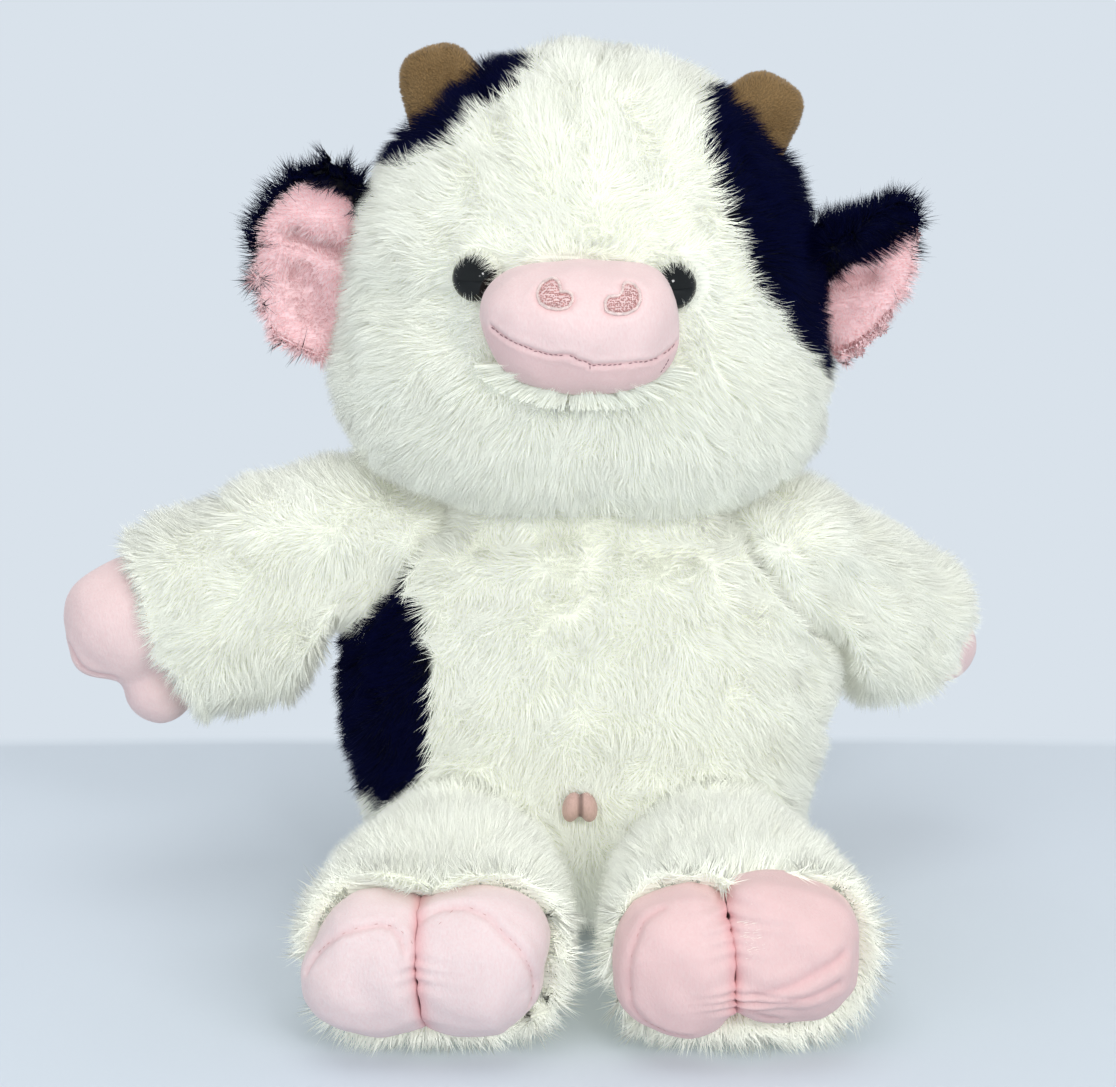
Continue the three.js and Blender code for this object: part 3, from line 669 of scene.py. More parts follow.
def stuffed_skin(name, body, nodes, beside, depth, voxel=3 * MM, rounds=14, bulging=True):
    """The backing of a furred piece: the CAD form, drawn in by the depth of its fur except where it
    meets the pieces beside it. Where a piece bulges, its hollows are left as they are."""
    skin = evened(copy_of(name, nodes), voxel, rounds)
    points = points_of(skin.data)
    room = np.ones(len(points))
    if beside:
        free = looked_at(surface_of(beside), points, normals_of(skin.data), 10 * MM)
        room = spread_out(skin.data, ease(free, 2.5 * MM, 9 * MM), rounds=5)
    if bulging:
        drawn = np.clip(depth - distances(hull_of(nodes), points), 0, depth) * room
    else:
        drawn = depth * room
    points = points - normals_of(skin.data) * drawn[:, None]
    move_points(skin.data, points)
    painted(skin.data, "room", room)
    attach(skin, body)
    return skin


def roots_on(skin, density, seed):
    """Even random places on a skin, so many to a square centimetre: points, normals and a way to read
    the skin's values there."""
    mesh = skin.data
    mesh.calc_loop_triangles()
    corners = np.empty(len(mesh.loop_triangles) * 3, dtype=np.int32)
    mesh.loop_triangles.foreach_get("vertices", corners)
    corners = corners.reshape(-1, 3)
    points, normals = points_of(mesh), normals_of(mesh)
    a, b, c = (points[corners[:, i]] for i in range(3))
    areas = np.linalg.norm(np.cross(b - a, c - a), axis=1) / 2
    count = int(areas.sum() * CENTIMETRES * density)
    random = np.random.default_rng(seed)
    steps = (np.arange(count) + random.uniform(size=count)) / count
    chosen = np.searchsorted(np.cumsum(areas) / areas.sum(), steps).clip(0, len(corners) - 1)
    weights = random.uniform(size=(count, 2))
    folded = weights.sum(axis=1) > 1
    weights[folded] = 1 - weights[folded]
    weights = np.column_stack((1 - weights.sum(axis=1), weights))

    def read(values):
        return np.einsum("nk,nk...->n...", weights, values[corners[chosen]])

    return read(points), unit(read(normals)), read


def clear_of(tree, points, normals, reach):
    """Which roots have nothing of a tree's pieces over them."""
    return np.array([tree.ray_cast(Vector(p), Vector(n), reach)[0] is None
                     for p, n in zip(points, normals)])


def spike():
    """The corners and faces of a closed spike with three sides, one long and one in radius."""
    form = bmesh.new()
    bmesh.ops.create_cone(form, cap_ends=True, segments=3, radius1=1, radius2=0, depth=1)
    bmesh.ops.remove_doubles(form, verts=form.verts, dist=1e-4)
    form.verts.index_update()
    corners = np.array([vertex.co for vertex in form.verts])
    faces = np.array([[vertex.index for vertex in face.verts] for face in form.faces])
    form.free()
    return corners, faces


class Pile:
    """Hairs that stand on a skin, each with a root and a tip."""

    FEWER, WIDER = 0.45, 0.4  # on the back and the underside, where the rest are thicker for it
    DYE_STRAY = 0.12  # how unevenly the edge of a dark panel falls
    FLOOR = 0.4 * MM  # no hair goes lower
    SHORTEST, LONGEST = 0.72, 1.06  # of the length that is asked for
    OVERLONG, OVERLENGTH = 0.05, 1.22  # how many are longer still, and by how much
    LEAN_STRAY, LEAST_LEAN, MOST_LEAN = 7, 2, 82  # in degrees
    TUFT_TONE = 0.35  # how much of a hair's tone it shares with its tuft
    ACROSS_SHINE, ROOT_SHINE = 0.45, 0.3  # how a strand's light differs from the skin's

    def __init__(self, skin, density, seed):
        self.seed, self.density = seed, density
        self.roots, self.normals, read = roots_on(skin, density, seed)
        random = np.random.default_rng(seed + 8)
        count = len(self.roots)
        self.room = read(values_of(skin.data, "room"))
        self.dark, self.fold = np.zeros(count), np.zeros(count)
        if "dark" in skin.data.attributes:
            stray = random.normal(size=count) * self.DYE_STRAY
            self.dark = read(values_of(skin.data, "dark")) + stray
        if "fold" in skin.data.attributes:
            self.fold = read(values_of(skin.data, "fold"))
        behind, under = ease(self.normals[:, 1], 0.1, 0.6), ease(-self.normals[:, 2], 0.7, 0.95)
        far = np.maximum(behind, under)
        self.wide = 1 + self.WIDER * far
        self.kept(random.uniform(size=count) > self.FEWER * far)

    def comb(self, ways, length, leans=(24, 56), spread=0.5, sway=0.6, swirl=20 * MM, lift=1.0):
        """Lays the hairs along the ways given, less at the root than at the tip. Leans are degrees from
        upright, spread is each hair's own stray and sway that of patches about as wide as swirl."""
        random = np.random.default_rng(self.seed + 1)
        count = len(self.roots)
        ways = ways + sway * ripples(self.roots, self.seed + 2, swirl)
        ways = ways + spread * random.normal(size=(count, 3))
        ways = unit(ways - self.normals * np.sum(ways * self.normals, axis=1, keepdims=True))
        length = length * random.uniform(self.SHORTEST, self.LONGEST, count)
        overlong = random.uniform(size=count) < self.OVERLONG
        length = np.where(overlong, length * self.OVERLENGTH, length)
        tilt = 1 + 0.25 * ripples(self.roots, self.seed + 3, 1.4 * swirl)[:, :1]
        tilt = tilt * np.broadcast_to(lift, count)[:, None]

        def leant(degrees):
            stray = random.normal(size=(count, 1)) * self.LEAN_STRAY
            angle = np.radians(np.clip(degrees * tilt + stray, self.LEAST_LEAN, self.MOST_LEAN))
            return self.normals * np.cos(angle) + ways * np.sin(angle)

        half = length[:, None] / 2
        self.tips = self.roots + leant(leans[0]) * half + leant(leans[1]) * half
        self.toned = random.uniform(size=count)

    @classmethod
    def placed(cls, seed, roots, normals, tips):
        """Hairs whose ends are given, for a look of their own."""
        pile = cls.__new__(cls)
        pile.seed, pile.roots, pile.normals, pile.tips = seed, roots, normals, tips
        pile.toned = np.random.default_rng(seed).uniform(size=len(roots))
        pile.wide = np.ones(len(roots))
        return pile

    def gather(self, width, hold):
        """Draws the hairs together into tufts of about this width, by a share of the way."""
        random = np.random.default_rng(self.seed + int(width * 1e5))
        count = len(self.roots)
        tufts = max(1, int(count / (self.density * CENTIMETRES * width ** 2)))
        leaders = random.permutation(count)[:tufts]
        tree = KDTree(len(leaders))
        for place, leader in enumerate(leaders):
            tree.insert(Vector(self.roots[leader]), place)
        tree.balance()
        tuft = np.array([tree.find(Vector(root))[1] for root in self.roots])
        lead = leaders[tuft]
        held = hold * (0.75 + 0.35 * ripples(self.roots, self.seed + 6, 30 * MM)[:, :1])
        held = np.clip(held, 0.1, 0.9) * random.uniform(0.75, 1.1, (count, 1))
        self.tips = self.tips + held * (self.tips[lead] - self.tips)
        tone = random.uniform(size=len(leaders))[tuft]
        self.toned = np.clip((1 - self.TUFT_TONE) * self.toned + self.TUFT_TONE * tone, 0, 1)

    def kept(self, keep):
        """Only some of the hairs."""
        for name in ("roots", "normals", "room", "dark", "fold", "wide", "tips", "toned"):
            if hasattr(self, name):
                setattr(self, name, getattr(self, name)[keep])

    def piece(self, name, body, slot, look, thickness, keep=None, sink=0.8 * MM):
        """Makes the hairs one piece, each a closed spike with three sides."""
        keep = slice(None) if keep is None else keep
        normals, tips, toned = self.normals[keep], self.tips[keep], self.toned[keep]
        roots = self.roots[keep] - normals * sink
        count = len(roots)
        corners, sides = spike()
        along = unit(tips - roots)
        across = unit(np.cross(along, normals + 0.01))
        over = np.cross(along, across)
        random = np.random.default_rng(self.seed + 7)
        turn = random.uniform(0, 2 * math.pi, (count, 1))
        across, over = (across * np.cos(turn) + over * np.sin(turn),
                        over * np.cos(turn) - across * np.sin(turn))
        radius = thickness / 2 * self.wide[keep, None] * random.uniform(0.75, 1.2, (count, 1))
        points = np.empty((count, len(corners), 3))
        shine = np.empty_like(points)  # the skin's normals, turned a little as a strand's would be
        for place, (x, y, z) in enumerate(corners):
            side = across * x + over * y
            points[:, place] = (tips if z > 0 else roots) + side * radius
            round_root = self.ROOT_SHINE * side if z < 0 else 0
            shine[:, place] = unit(normals + self.ACROSS_SHINE * across + round_root)
        points[:, :, 2] = np.maximum(points[:, :, 2], self.FLOOR)
        mesh = bpy.data.meshes.new(name)
        mesh.vertices.add(points.shape[0] * points.shape[1])
        mesh.vertices.foreach_set("co", points.ravel())
        faces = (sides[None] + len(corners) * np.arange(count)[:, None, None]).ravel()
        mesh.loops.add(len(faces))
        mesh.loops.foreach_set("vertex_index", faces.astype(np.int32))
        mesh.polygons.add(len(faces) // 3)
        mesh.polygons.foreach_set("loop_start", np.arange(0, len(faces), 3, dtype=np.int32))
        mesh.update(calc_edges=True)
        layer = mesh.uv_layers.new(name=PILE_MAP)
        layer.uv.foreach_set("vector", self.mapped(corners, toned)[faces].astype(np.float32).ravel())
        mesh.shade_smooth()
        mesh.normals_split_custom_set_from_vertices(unit(shine).reshape(-1, 3))
        mesh.materials.append(look)
        hair = new_piece(name, mesh)
        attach(hair, body)
        return hair

    @staticmethod
    def mapped(corners, toned):
        """Where each hair's corners are in the pile's map: a narrow strip at the hair's own tone."""
        x, y, z = corners.T
        across = 0.02 + 0.96 * toned[:, None] + 0.01 * (x + 0.3 * y)
        up = np.where(z > 0, 1.0, 0.0) + 0.02 * y * (z < 0)
        up = np.broadcast_to(up, across.shape)
        return np.clip(np.stack((across, up), axis=-1), 0, 1).reshape(-1, 2)


def finished(piece, body, slot, look, *nodes, fill=None):
    """Dresses a piece, sets it on its body and hides the CAD nodes that it stands for."""
    piece.data.materials.clear()
    piece.data.materials.append(look)
    if "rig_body" not in piece:
        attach(piece, body)
    if nodes:
        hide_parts(*nodes)
    return piece


def dyed(skin, dark_nodes, pale_nodes, depth):
    """Marks where a skin lies under dark cloth."""
    outer = points_of(skin.data) + normals_of(skin.data) * depth
    nearer = distances(surface_of(pale_nodes), outer) - distances(surface_of(dark_nodes), outer)
    painted(skin.data, "dark", ease(nearer, -1.5 * MM, 1.5 * MM))


def tufted(pile, fur):
    """Long fur falls into fine tufts, and these into wide ones."""
    pile.gather(width=0.34 * fur.clump, hold=0.24)
    pile.gather(width=fur.clump, hold=0.2)


def white_pile_look(fur):
    return look_of("white_pile", pile_look, fur.cream, fur.white)


def leg_pile_look(fur):
    """The white pile of the legs, which lie lowest and get the least light, with a stronger painted
    glow.
    """
    return look_of("leg_pile", pile_look, fur.cream, fur.white, glow=0.26)


def navy_pile_look(fur):
    return look_of("navy_pile", pile_look, fur.ink, fur.navy, worn=COLD, sheen=0.0, gloss=0.08)


def backing(fur):
    return look_of("fur_backing", backing_look, fur.knit, fur.ink)


# What each piece stands for, and what is sewn to it

BURIED = 0.05  # a root with less room than this is out of sight
TORSO = ["torso_cover", "torso_side_patch", "torso_stuffing", "seat_bead_pouch"]
HEAD = ["head_cover", "head_patch_right", "head_patch_left", "head_stuffing"]
ON_HEAD = ["muzzle_pad", "muzzle_lip", "eye_right", "eye_left", "horn_right", "horn_left"]
SIDES = (("right", -1), ("left", 1))
LIMBS = [f"{limb}_sleeve_{side}" for limb in ("arm", "leg") for side, _ in SIDES]
TOES = {side: [f"toe_inner_{side}", f"toe_outer_{side}"] for side, _ in SIDES}
joints = {joint["name"]: joint for joint in frame["joints"]}


def joint_line(name):
    joint = joints[name]
    return np.array(joint["pos_m"], float), unit(np.array(joint["axis"], float))


def plush_name(node):
    """The name of the visible piece that stands for a toe."""
    return node.replace("toe", "toe_plush")


def middle_of(*nodes):
    return np.mean([np.mean(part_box(node), axis=0) for node in nodes], axis=0)


# Measures of the fur's lie, in metres
CHEST_PARTING, CHEST = 0.9 * MM, 105 * MM  # where across it parts, and how high that starts
BELLY_DIMPLE = (-3 * MM, 90 * MM)  # across and up
TORSO_MIDDLE = 8 * MM  # from front to back
CHIN = 208 * MM  # fur beside the muzzle and lower than this is brushed up

# Lines on the front of the toy, in millimetres across and up
PATCH_EDGES = {
    "right": ((-66.0, 257.5), (-59.0, 259.5), (-52.5, 262.0), (-46.8, 265.0), (-40.0, 269.5),
              (-34.0, 277.0), (-28.5, 281.0), (-22.0, 285.0), (-15.5, 289.5), (-13.0, 330.0)),
    "left": ((184.0, 130.0), (192.0, 76.0), (203.0, 68.0), (214.0, 60.5), (224.0, 54.0),
             (236.0, 48.4), (246.5, 44.0), (256.0, 39.5), (267.5, 37.0), (276.5, 36.0),
             (284.0, 36.0), (300.0, 38.0)),
}  # on the right, up over across, and on the left, across over up
CHEEK_CREASE = ((-79.2, 216.5), (-66.5, 219.7), (-53.1, 221.4), (-41.8, 221.4))
MUZZLE_MIDDLE = (-2.3, 215.2)
MUZZLE_SEAT, MUZZLE_SWELL, MUZZLE_SINK = -57, 25, 14  # how far back, and how far out and in from there
NOSE_HEIGHT, NOSE_SPREAD, NOSE_SWELL = 221, 12, 3.4  # where and how much fuller it is at the nostrils
MUZZLE = ((-24.2, 233.3), (-18.0, 234.9), (-8.6, 235.5), (4.0, 235.9), (14.9, 235.5), (21.2, 233.9),
          (25.3, 230.0), (28.1, 224.2), (29.0, 217.8), (28.7, 209.7), (26.5, 203.3), (21.2, 198.4),
          (13.4, 195.8), (0.8, 194.9), (-11.7, 195.5), (-21.1, 198.4), (-27.4, 202.9), (-31.4, 209.7),
          (-33.6, 217.1), (-33.6, 222.6), (-32.1, 226.8), (-28.3, 230.7))
NOSTRILS = {
    "right": ((-11.1, 232.7), (-13.3, 231.9), (-14.9, 230.5), (-15.6, 228.5), (-14.8, 226.4),
              (-12.4, 225.1), (-9.0, 224.7), (-6.1, 225.3), (-4.6, 227.2), (-4.9, 228.9),
              (-6.7, 229.5), (-8.4, 229.2), (-8.5, 230.6), (-9.0, 231.9), (-10.0, 232.6)),
    "left": ((11.9, 231.7), (14.1, 231.1), (15.7, 229.3), (16.0, 226.8), (14.7, 224.5), (11.6, 223.3),
             (7.9, 223.4), (5.4, 224.3), (5.2, 226.7), (6.2, 228.2), (9.6, 228.4), (10.7, 229.6),
             (10.8, 231.2)),
}
MOUTH = ((-29.9, 217.7), (-25.8, 215.0), (-18.7, 212.6), (-14.4, 211.2), (-10.4, 210.4), (-8.0, 210.8),
         (-4.9, 210.6), (-3.4, 209.2), (0.0, 208.2), (0.9, 207.3), (7.1, 207.4), (14.8, 207.7),
         (21.1, 207.8), (25.2, 209.9), (27.5, 211.9))
MOUTH_ENDS = (((0.6, 207.2), (0.6, 205.2)), ((25.3, 207.1), (24.1, 204.8), (22.6, 202.5)))
FRINGE_GAP = (-6.5, 0.9)  # where the fur under the muzzle parts, and half how wide
FRINGE_ENDS, FRINGE_HAIRS = (-158, -22), 1500  # round the muzzle, in degrees
HORN_STRETCH = np.array((1.2, 1.1, 1.05))
EYE_SHARE = 0.88  # how much of an eye's breadth the fur leaves free
EYE_SHIFT = (-2.8, -0.7, -0.8)  # where the free part's middle is, across, forward on the left, and up
EYE_HAIRS = 560
HOOF_BALLS = {
    "right": (((-154.5, 0.0, 104.0), (24.0, 23.0, 21.5)), ((-165.5, -1.0, 93.5), (10.5, 15.0, 9.5)),
              ((-145.5, 0.5, 81.0), (13.0, 17.0, 13.5))),
    "left": (((108.0, 57.0, 76.0), (20.0, 24.0, 17.0)), ((128.5, 58.0, 78.0), (14.5, 15.0, 13.0)),
             ((114.0, 73.0, 70.0), (12.0, 12.0, 11.0))),
}  # the middle and half the sizes of each
HOOF_CREASE = ((-174.5, 97.0), (-171.0, 91.0), (-164.5, 87.5), (-160.0, 87.5))
ARM_NUDGES = {
    "right": ((-150.4, 131.7, -8.5, 0), (-140, 98, -8.5, 0), (-130.5, 68.7, -8.5, 1),
              (-114.6, 63.8, 0, 6.5), (-100.5, 70.4, 0, 8.5), (-87.8, 85, 0, 7), (-110, 153, 0, 4),
              (-90.9, 157, 0, 4.5), (-74, 154, 0, 9), (-105, 110, 0, 0), (-120, 100, -3, 0)),
    "left": ((105, 143, -2, -7), (116.7, 133.8, 0, -6), (136, 85.5, 5.7, 2), (105, 49, 4, 9.5),
             (90, 53, 4, 12), (129, 61, 4, 2), (100, 95, 0, 0)),
}  # across and up, then how far across and up
# The edge and the top that an ear is stretched from, how much broader and taller, and its shift across
EAR_FITS = {"right": (-118.3, 261.5, 1.08, 1.10, 5.0), "left": (118.8, 251.9, 1.15, 1.0, -3.5)}
EAR_DEPTH = 3.6 * MM  # how deep the backing lies
EAR_FUR, EAR_THICKNESS = 9.5 * MM, 0.3 * MM  # of the dark hairs, and of all the ear's hairs
EAR_BACKS = {"right": (0.05, 0.35), "left": (0.35, 0.7)}  # how far round to the back it turns dark
EAR_LOWS = {"right": 212, "left": 227}  # lower than this, only what faces straight back is dark
EAR_FLAP_PUFFS = {"right": 1.5, "left": 3.5}
EAR_NUDGES = {"right": ((-112, 226, -1, 0), (-109, 214, -2.5, -1), (-104, 207, -3, -2)),
              "left": ((110.8, 216.5, 1, 2), (101, 205, -1, 2), (92.7, 196, -2, 1))}
EAR_FOLDS = {"right": ((((-97.0, 235.4), (-88.0, 231.5), (-80.0, 229.0)), 4.5, 2.6),
                       (((-94.0, 222.0), (-91.0, 210.0)), 2.5, 6.0)),
             "left": ((((79.0, 217.6), (88.0, 219.6), (95.0, 221.5)), 2.8, 3.4),)}  # line, depth, width
EAR_FLAPS = {"right": ((-113.5, 222.0), (-109.9, 227.8), (-106.9, 238.0), (-101.6, 247.1),
                       (-93.4, 252.6), (-84.5, 251.6), (-78.9, 247.8), (-77.2, 243.7), (-73.9, 238.0)),
             "left": ((80.0, 217.5), (82.2, 219.9), (85.5, 223.3), (93.8, 229.1), (112.0, 239.3))}
TOE_SEAMS = {
    "toe_outer_right": ((-85.0, 31.0), (-82.0, 36.6), (-78.6, 40.6), (-73.8, 44.6), (-68.8, 46.8),
                        (-62.2, 48.0), (-57.1, 47.2), (-53.6, 44.4), (-51.8, 40.4)),
    "toe_inner_right": ((-47.6, 42.4), (-46.2, 47.4), (-41.7, 51.4), (-35.7, 52.6), (-29.6, 50.5),
                        (-25.1, 46.2), (-20.6, 41.6), (-17.6, 35.0), (-16.6, 28.4), (-17.6, 21.0)),
    "toe_inner_left": ((22.4, 52.2), (16.7, 48.4), (13.4, 41.2), (12.2, 31.5), (13.4, 21.8),
                       (17.6, 16.3), (24.2, 13.2), (30.0, 12.4)),
}
TOE_CREASES = {
    "toe_outer_left": (((52.9, 28.0), (58.0, 29.2), (63.2, 31.4), (70.8, 36.2), (76.1, 39.1)),
                       ((52.5, 25.0), (64.9, 26.2), (74.0, 30.4)),
                       ((49.0, 24.0), (52.5, 20.8), (57.5, 17.0))),
}
TOE_SEAM_DEPTHS = {"right": 0.9, "left": 0.4}
TOE_PINKS = {"right": "faint", "left": "rosy"}
PUCKERS = {"right": (0.3, 6, 6), "left": (0.62, 4.3, 8)}  # depth, pitch and reach
CLEFTS = {"right": -47.6, "left": 47.6}  # the seam between the toes of a foot
CLEFT_BENDS = {"right": ((8, -0.5), (20, -3.0), (35, -4.3), (50, -3.6), (58, -3.0)),
               "left": ((8, -3.0), (25, -3.2), (40, -4.0), (52, -6.0), (58, -6.0))}  # over up
TOE_NUDGES = {
    "right": ((-82, 22, -6.6, 0), (-84, 34, -2, 0), (-80, 44, 3.5, -2), (-69, 54, 0, -2.5),
              (-56, 56, 0, -1.5), (-75, 12, -3, 0), (-11.3, 26, -2.9, 0), (-17, 14, -4, 1)),
    "left": ((10, 38, -3.1, 0), (12, 20, -3, 0), (16, 50, -1.3, 0), (56, 54, 0, 4.6), (60, 10, 0, 5.4),
             (76, 16, -2, 4), (83, 34, -1.2, 0), (50, 9, 0, 3)),
}  # across and up, then how far across and up


class PLUSH_OT_torso(bpy.types.Operator):
    """Make the furred torso with its dark side panel"""

    bl_idname = "plush.torso"
    bl_label = "Torso"

    def execute(self, context):
        fur = context.scene.plush_fur
        beside = ["head_cover", *LIMBS, "tail_cord"]
        skin = stuffed_skin("torso_backing", "torso", TORSO, beside, fur.depth)
        dyed(skin, ["torso_side_patch"], ["torso_cover"], fur.depth)
        finished(skin, "torso", "white_fur", backing(fur), *TORSO, fill=0.7)
        pile = Pile(skin, fur.density, seed=11)
        x, y, z = pile.roots.T
        front = ease(-pile.normals[:, 1], 0.1, 0.5)
        chest = ease(z, 118 * MM, 134 * MM)
        seam = 0.6 * np.exp(-((x - CHEST_PARTING) / (7 * MM)) ** 2) * front * chest
        across, up = BELLY_DIMPLE
        dimple = 0.6 * np.exp(-((x - across) / (5 * MM)) ** 2 - ((z - up) / (9 * MM)) ** 2) * front
        parted = np.clip(seam + dimple, 0, 1)
        away = np.sign(x - np.where(z > CHEST, CHEST_PARTING, across))
        ways = DOWN + columns(1.8 * parted * away, 0, 0)
        ways = ways + 0.35 * unit(columns(x, y - 10 * MM, 0 * z))
        pile.comb(ways, fur.length * (1 - 0.35 * parted) * (0.55 + 0.45 * pile.room))
        open_to_air = clear_of(surface_of(["belly_nub"]), pile.roots, pile.normals, 12 * MM)
        pile.kept(open_to_air & (pile.room > BURIED))
        tufted(pile, fur)
        navy = pile.dark > 0.5
        x, y, z = pile.roots.T
        for end, there in (("front", y < TORSO_MIDDLE), ("back", y >= TORSO_MIDDLE)):
            for side, way in SIDES:
                pile.piece(f"torso_fur_{end}_{side}", "torso", "white_fur", white_pile_look(fur),
                           fur.thickness, there & (x * way > 0) & ~navy)
        pile.piece("torso_fur_dark", "torso", "navy_fur", navy_pile_look(fur), fur.thickness, navy)
        return {"FINISHED"}


class PLUSH_OT_head(bpy.types.Operator):
    """Make the furred head with its dark panels"""

    bl_idname = "plush.head"
    bl_label = "Head"

    def execute(self, context):
        fur = context.scene.plush_fur
        skin = stuffed_skin("head_backing", "head", HEAD, ["torso_cover"], fur.depth)
        points, normals = points_of(skin.data), normals_of(skin.data)
        crease = drawn_on(skin, CHEEK_CREASE)
        points, _ = pressed(points, normals, crease, depth=2.6 * MM, width=4.5 * MM)
        move_points(skin.data, points)
        dyed(skin, ["head_patch_right", "head_patch_left"], ["head_cover"], fur.depth)
        x, _, z = points_of(skin.data).T
        over = z - line_at(x, PATCH_EDGES["right"])
        beside = x - line_at(z, PATCH_EDGES["left"])
        drawn = np.maximum(ease(over, -1.5 * MM, 1.5 * MM), ease(beside, -1.5 * MM, 1.5 * MM))
        front = ease(-normals_of(skin.data)[:, 1], -0.1, 0.25)
        painted(skin.data, "dark", values_of(skin.data, "dark") * (1 - front) + drawn * front)
        finished(skin, "head", "white_fur", backing(fur), *HEAD, fill=0.75)
        pile = Pile(skin, fur.density, seed=21)
        muzzle = middle_of("muzzle_pad")
        eyes = [middle_of(f"eye_{side}") for side, _ in SIDES]
        out = pile.roots - muzzle
        front = ease(-pile.normals[:, 1], 0.0, 0.5)[:, None]
        ways = unit(out * (1, 0.3, 1)) * front * 1.2 + DOWN * (1.15 - 0.75 * front)
        ways = ways + (0, 0, -0.35)
        from_muzzle = distances(surface_of(["muzzle_pad", "muzzle_lip"]), pile.roots)
        beside = 1 - ease(from_muzzle, 3 * MM, 13 * MM)
        under = (beside * (pile.roots[:, 2] < CHIN))[:, None]
        ways = ways * (1 - under) + (0, 0, 1.1) * under
        near_eye = np.min([np.linalg.norm(pile.roots - eye, axis=1) for eye in eyes], axis=0)
        shorter = 1 - 0.45 * (1 - ease(near_eye, 12 * MM, 24 * MM))
        pile.comb(ways, fur.length * shorter * (0.55 + 0.45 * pile.room), lift=1 - 0.4 * beside)
        open_to_air = clear_of(surface_of(ON_HEAD), pile.roots, pile.normals, 20 * MM)
        pile.kept(open_to_air & (pile.room > BURIED))
        tufted(pile, fur)
        navy = pile.dark > 0.5
        x, y, z = pile.roots.T
        for end, there in (("face", y < 0), ("back", y >= 0)):
            for side, half in (("right", x < 0), ("left", x >= 0)):
                pile.piece(f"head_fur_{end}_{side}", "head", "white_fur", white_pile_look(fur),
                           fur.thickness, there & half & ~navy)
        for side, way in SIDES:
            pile.piece(f"head_fur_dark_{side}", "head", "navy_fur", navy_pile_look(fur),
                       fur.thickness, navy & (x * way > 0))
        return {"FINISHED"}


def pink_look(plush):
    return look_of("brushed_plush", plush_look, plush.pink, plush.deep)


def inside(outline, x, z):
    """Whether a place is inside a closed outline."""
    crossed = False
    for (ax, az), (bx, bz) in zip(outline, outline[1:] + outline[:1]):
        if (az > z) != (bz > z) and x < ax + (z - az) / (bz - az) * (bx - ax):
            crossed = not crossed
    return crossed


def muzzle_form(name):
    """A stuffed pad with the outline that is drawn for the muzzle, fullest at the nostrils."""
    form = bmesh.new()
    bmesh.ops.create_uvsphere(form, u_segments=64, v_segments=48, radius=1)
    piece = from_bmesh(name, form)
    across, up, out = points_of(piece.data).T
    away = np.maximum(np.hypot(across, up), 1e-6)
    reach = reach_of(MUZZLE, MUZZLE_MIDDLE, np.arctan2(up, across)) * away ** -0.12
    x, z = (middle * MM + way * reach for middle, way in zip(MUZZLE_MIDDLE, (across, up)))
    nose = np.exp(-((z - NOSE_HEIGHT * MM) / (NOSE_SPREAD * MM)) ** 2)
    swell = np.where(out > 0, MUZZLE_SWELL + NOSE_SWELL * nose, MUZZLE_SINK)
    y = MUZZLE_SEAT - swell * np.sign(out) * np.abs(out) ** 0.85
    move_points(piece.data, columns(x, y * MM, z))
    return evened(piece, voxel=1.4 * MM, rounds=16, levels=1)


def muzzle_seams(piece):
    """Draws the nostrils' edges and the mouth into the muzzle and marks their grooves for painted
    shade, with a deeper pink on the lower lip.
    """
    tree = tree_of(piece)
    points, normals = points_of(piece.data), normals_of(piece.data)
    fold = np.zeros(len(points))
    for side, _ in SIDES:
        edge = [place for place, _ in traced(tree, NOSTRILS[side], closed=True)]
        points, dip = pressed(points, normals, edge, depth=0.7 * MM, width=1.1 * MM, puff=0.2)
        fold = np.maximum(fold, 0.4 * dip)
    mouth = [place for place, _ in traced(tree, MOUTH)]
    points, dip = pressed(points, normals, mouth, depth=0.6 * MM, width=0.75 * MM, puff=0.45)
    lip = 1 - ease(points[:, 2] - line_at(points[:, 0], MOUTH), -1 * MM, 1 * MM)
    # Painted shade in the grooves of the nostrils and the mouth. The lower lip is a little deeper pink.
    fold = np.maximum(np.maximum(fold, 0.4 * dip), 0.2 * lip)
    points = wavy(points, normals, seed=5, size=17 * MM, depth=0.25 * MM)
    move_points(piece.data, points)
    painted(piece.data, "fold", fold)


def nostril_rim(tree, outline):
    """Satin stitches side by side across a nostril's edge."""
    edge = traced(tree, outline, spacing=0.42 * MM, closed=True)
    rim = []
    for (start, normal), (end, _) in zip(edge, edge[1:] + edge[:1]):
        across = (end - start).cross(normal).normalized() * 0.62 * MM
        middle = start + normal * 0.25 * MM
        rim.append((middle - across, middle + across + (end - start) * 0.5, normal))
    return rim


def nostril_loops(tree, outline, random):
    """Small loops of thread, turned every way, all over a nostril."""
    pitch = 0.62
    loops = []
    xs, zs = zip(*outline)
    for x in np.arange(min(xs), max(xs), pitch):
        for z in np.arange(min(zs), max(zs), pitch):
            place = (x + random.uniform(-0.2, 0.2), z + random.uniform(-0.2, 0.2))
            if not inside(outline, *place):
                continue
            (place, normal), = traced(tree, [place])
            turn = random.uniform(0, math.pi)
            half = Vector((math.cos(turn), 0, math.sin(turn))) * 0.42 * MM
            half -= normal * half.dot(normal)
            place = place + normal * 0.05 * MM
            loops.append((place - half, place + half, normal))
    return loops


def mouth_stitches(tree, random):
    """Uneven stitches along the mouth, some of them lost in the plush, and those at its ends."""
    places = traced(tree, MOUTH, spacing=1.6 * MM)
    seam = seam_stitches(places, long=1.5 * MM, short=0.4 * MM, lift=0.1 * MM)
    seam = [(start + Vector((0, 0, random.uniform(-0.3, 0.3))) * MM, end, normal)
            for start, end, normal in seam if random.uniform() < 0.8]
    for line in MOUTH_ENDS:
        places = traced(tree, line, spacing=1.3 * MM)
        seam += seam_stitches(places, long=1.5 * MM, short=0.2 * MM, lift=0.05 * MM)
    return seam


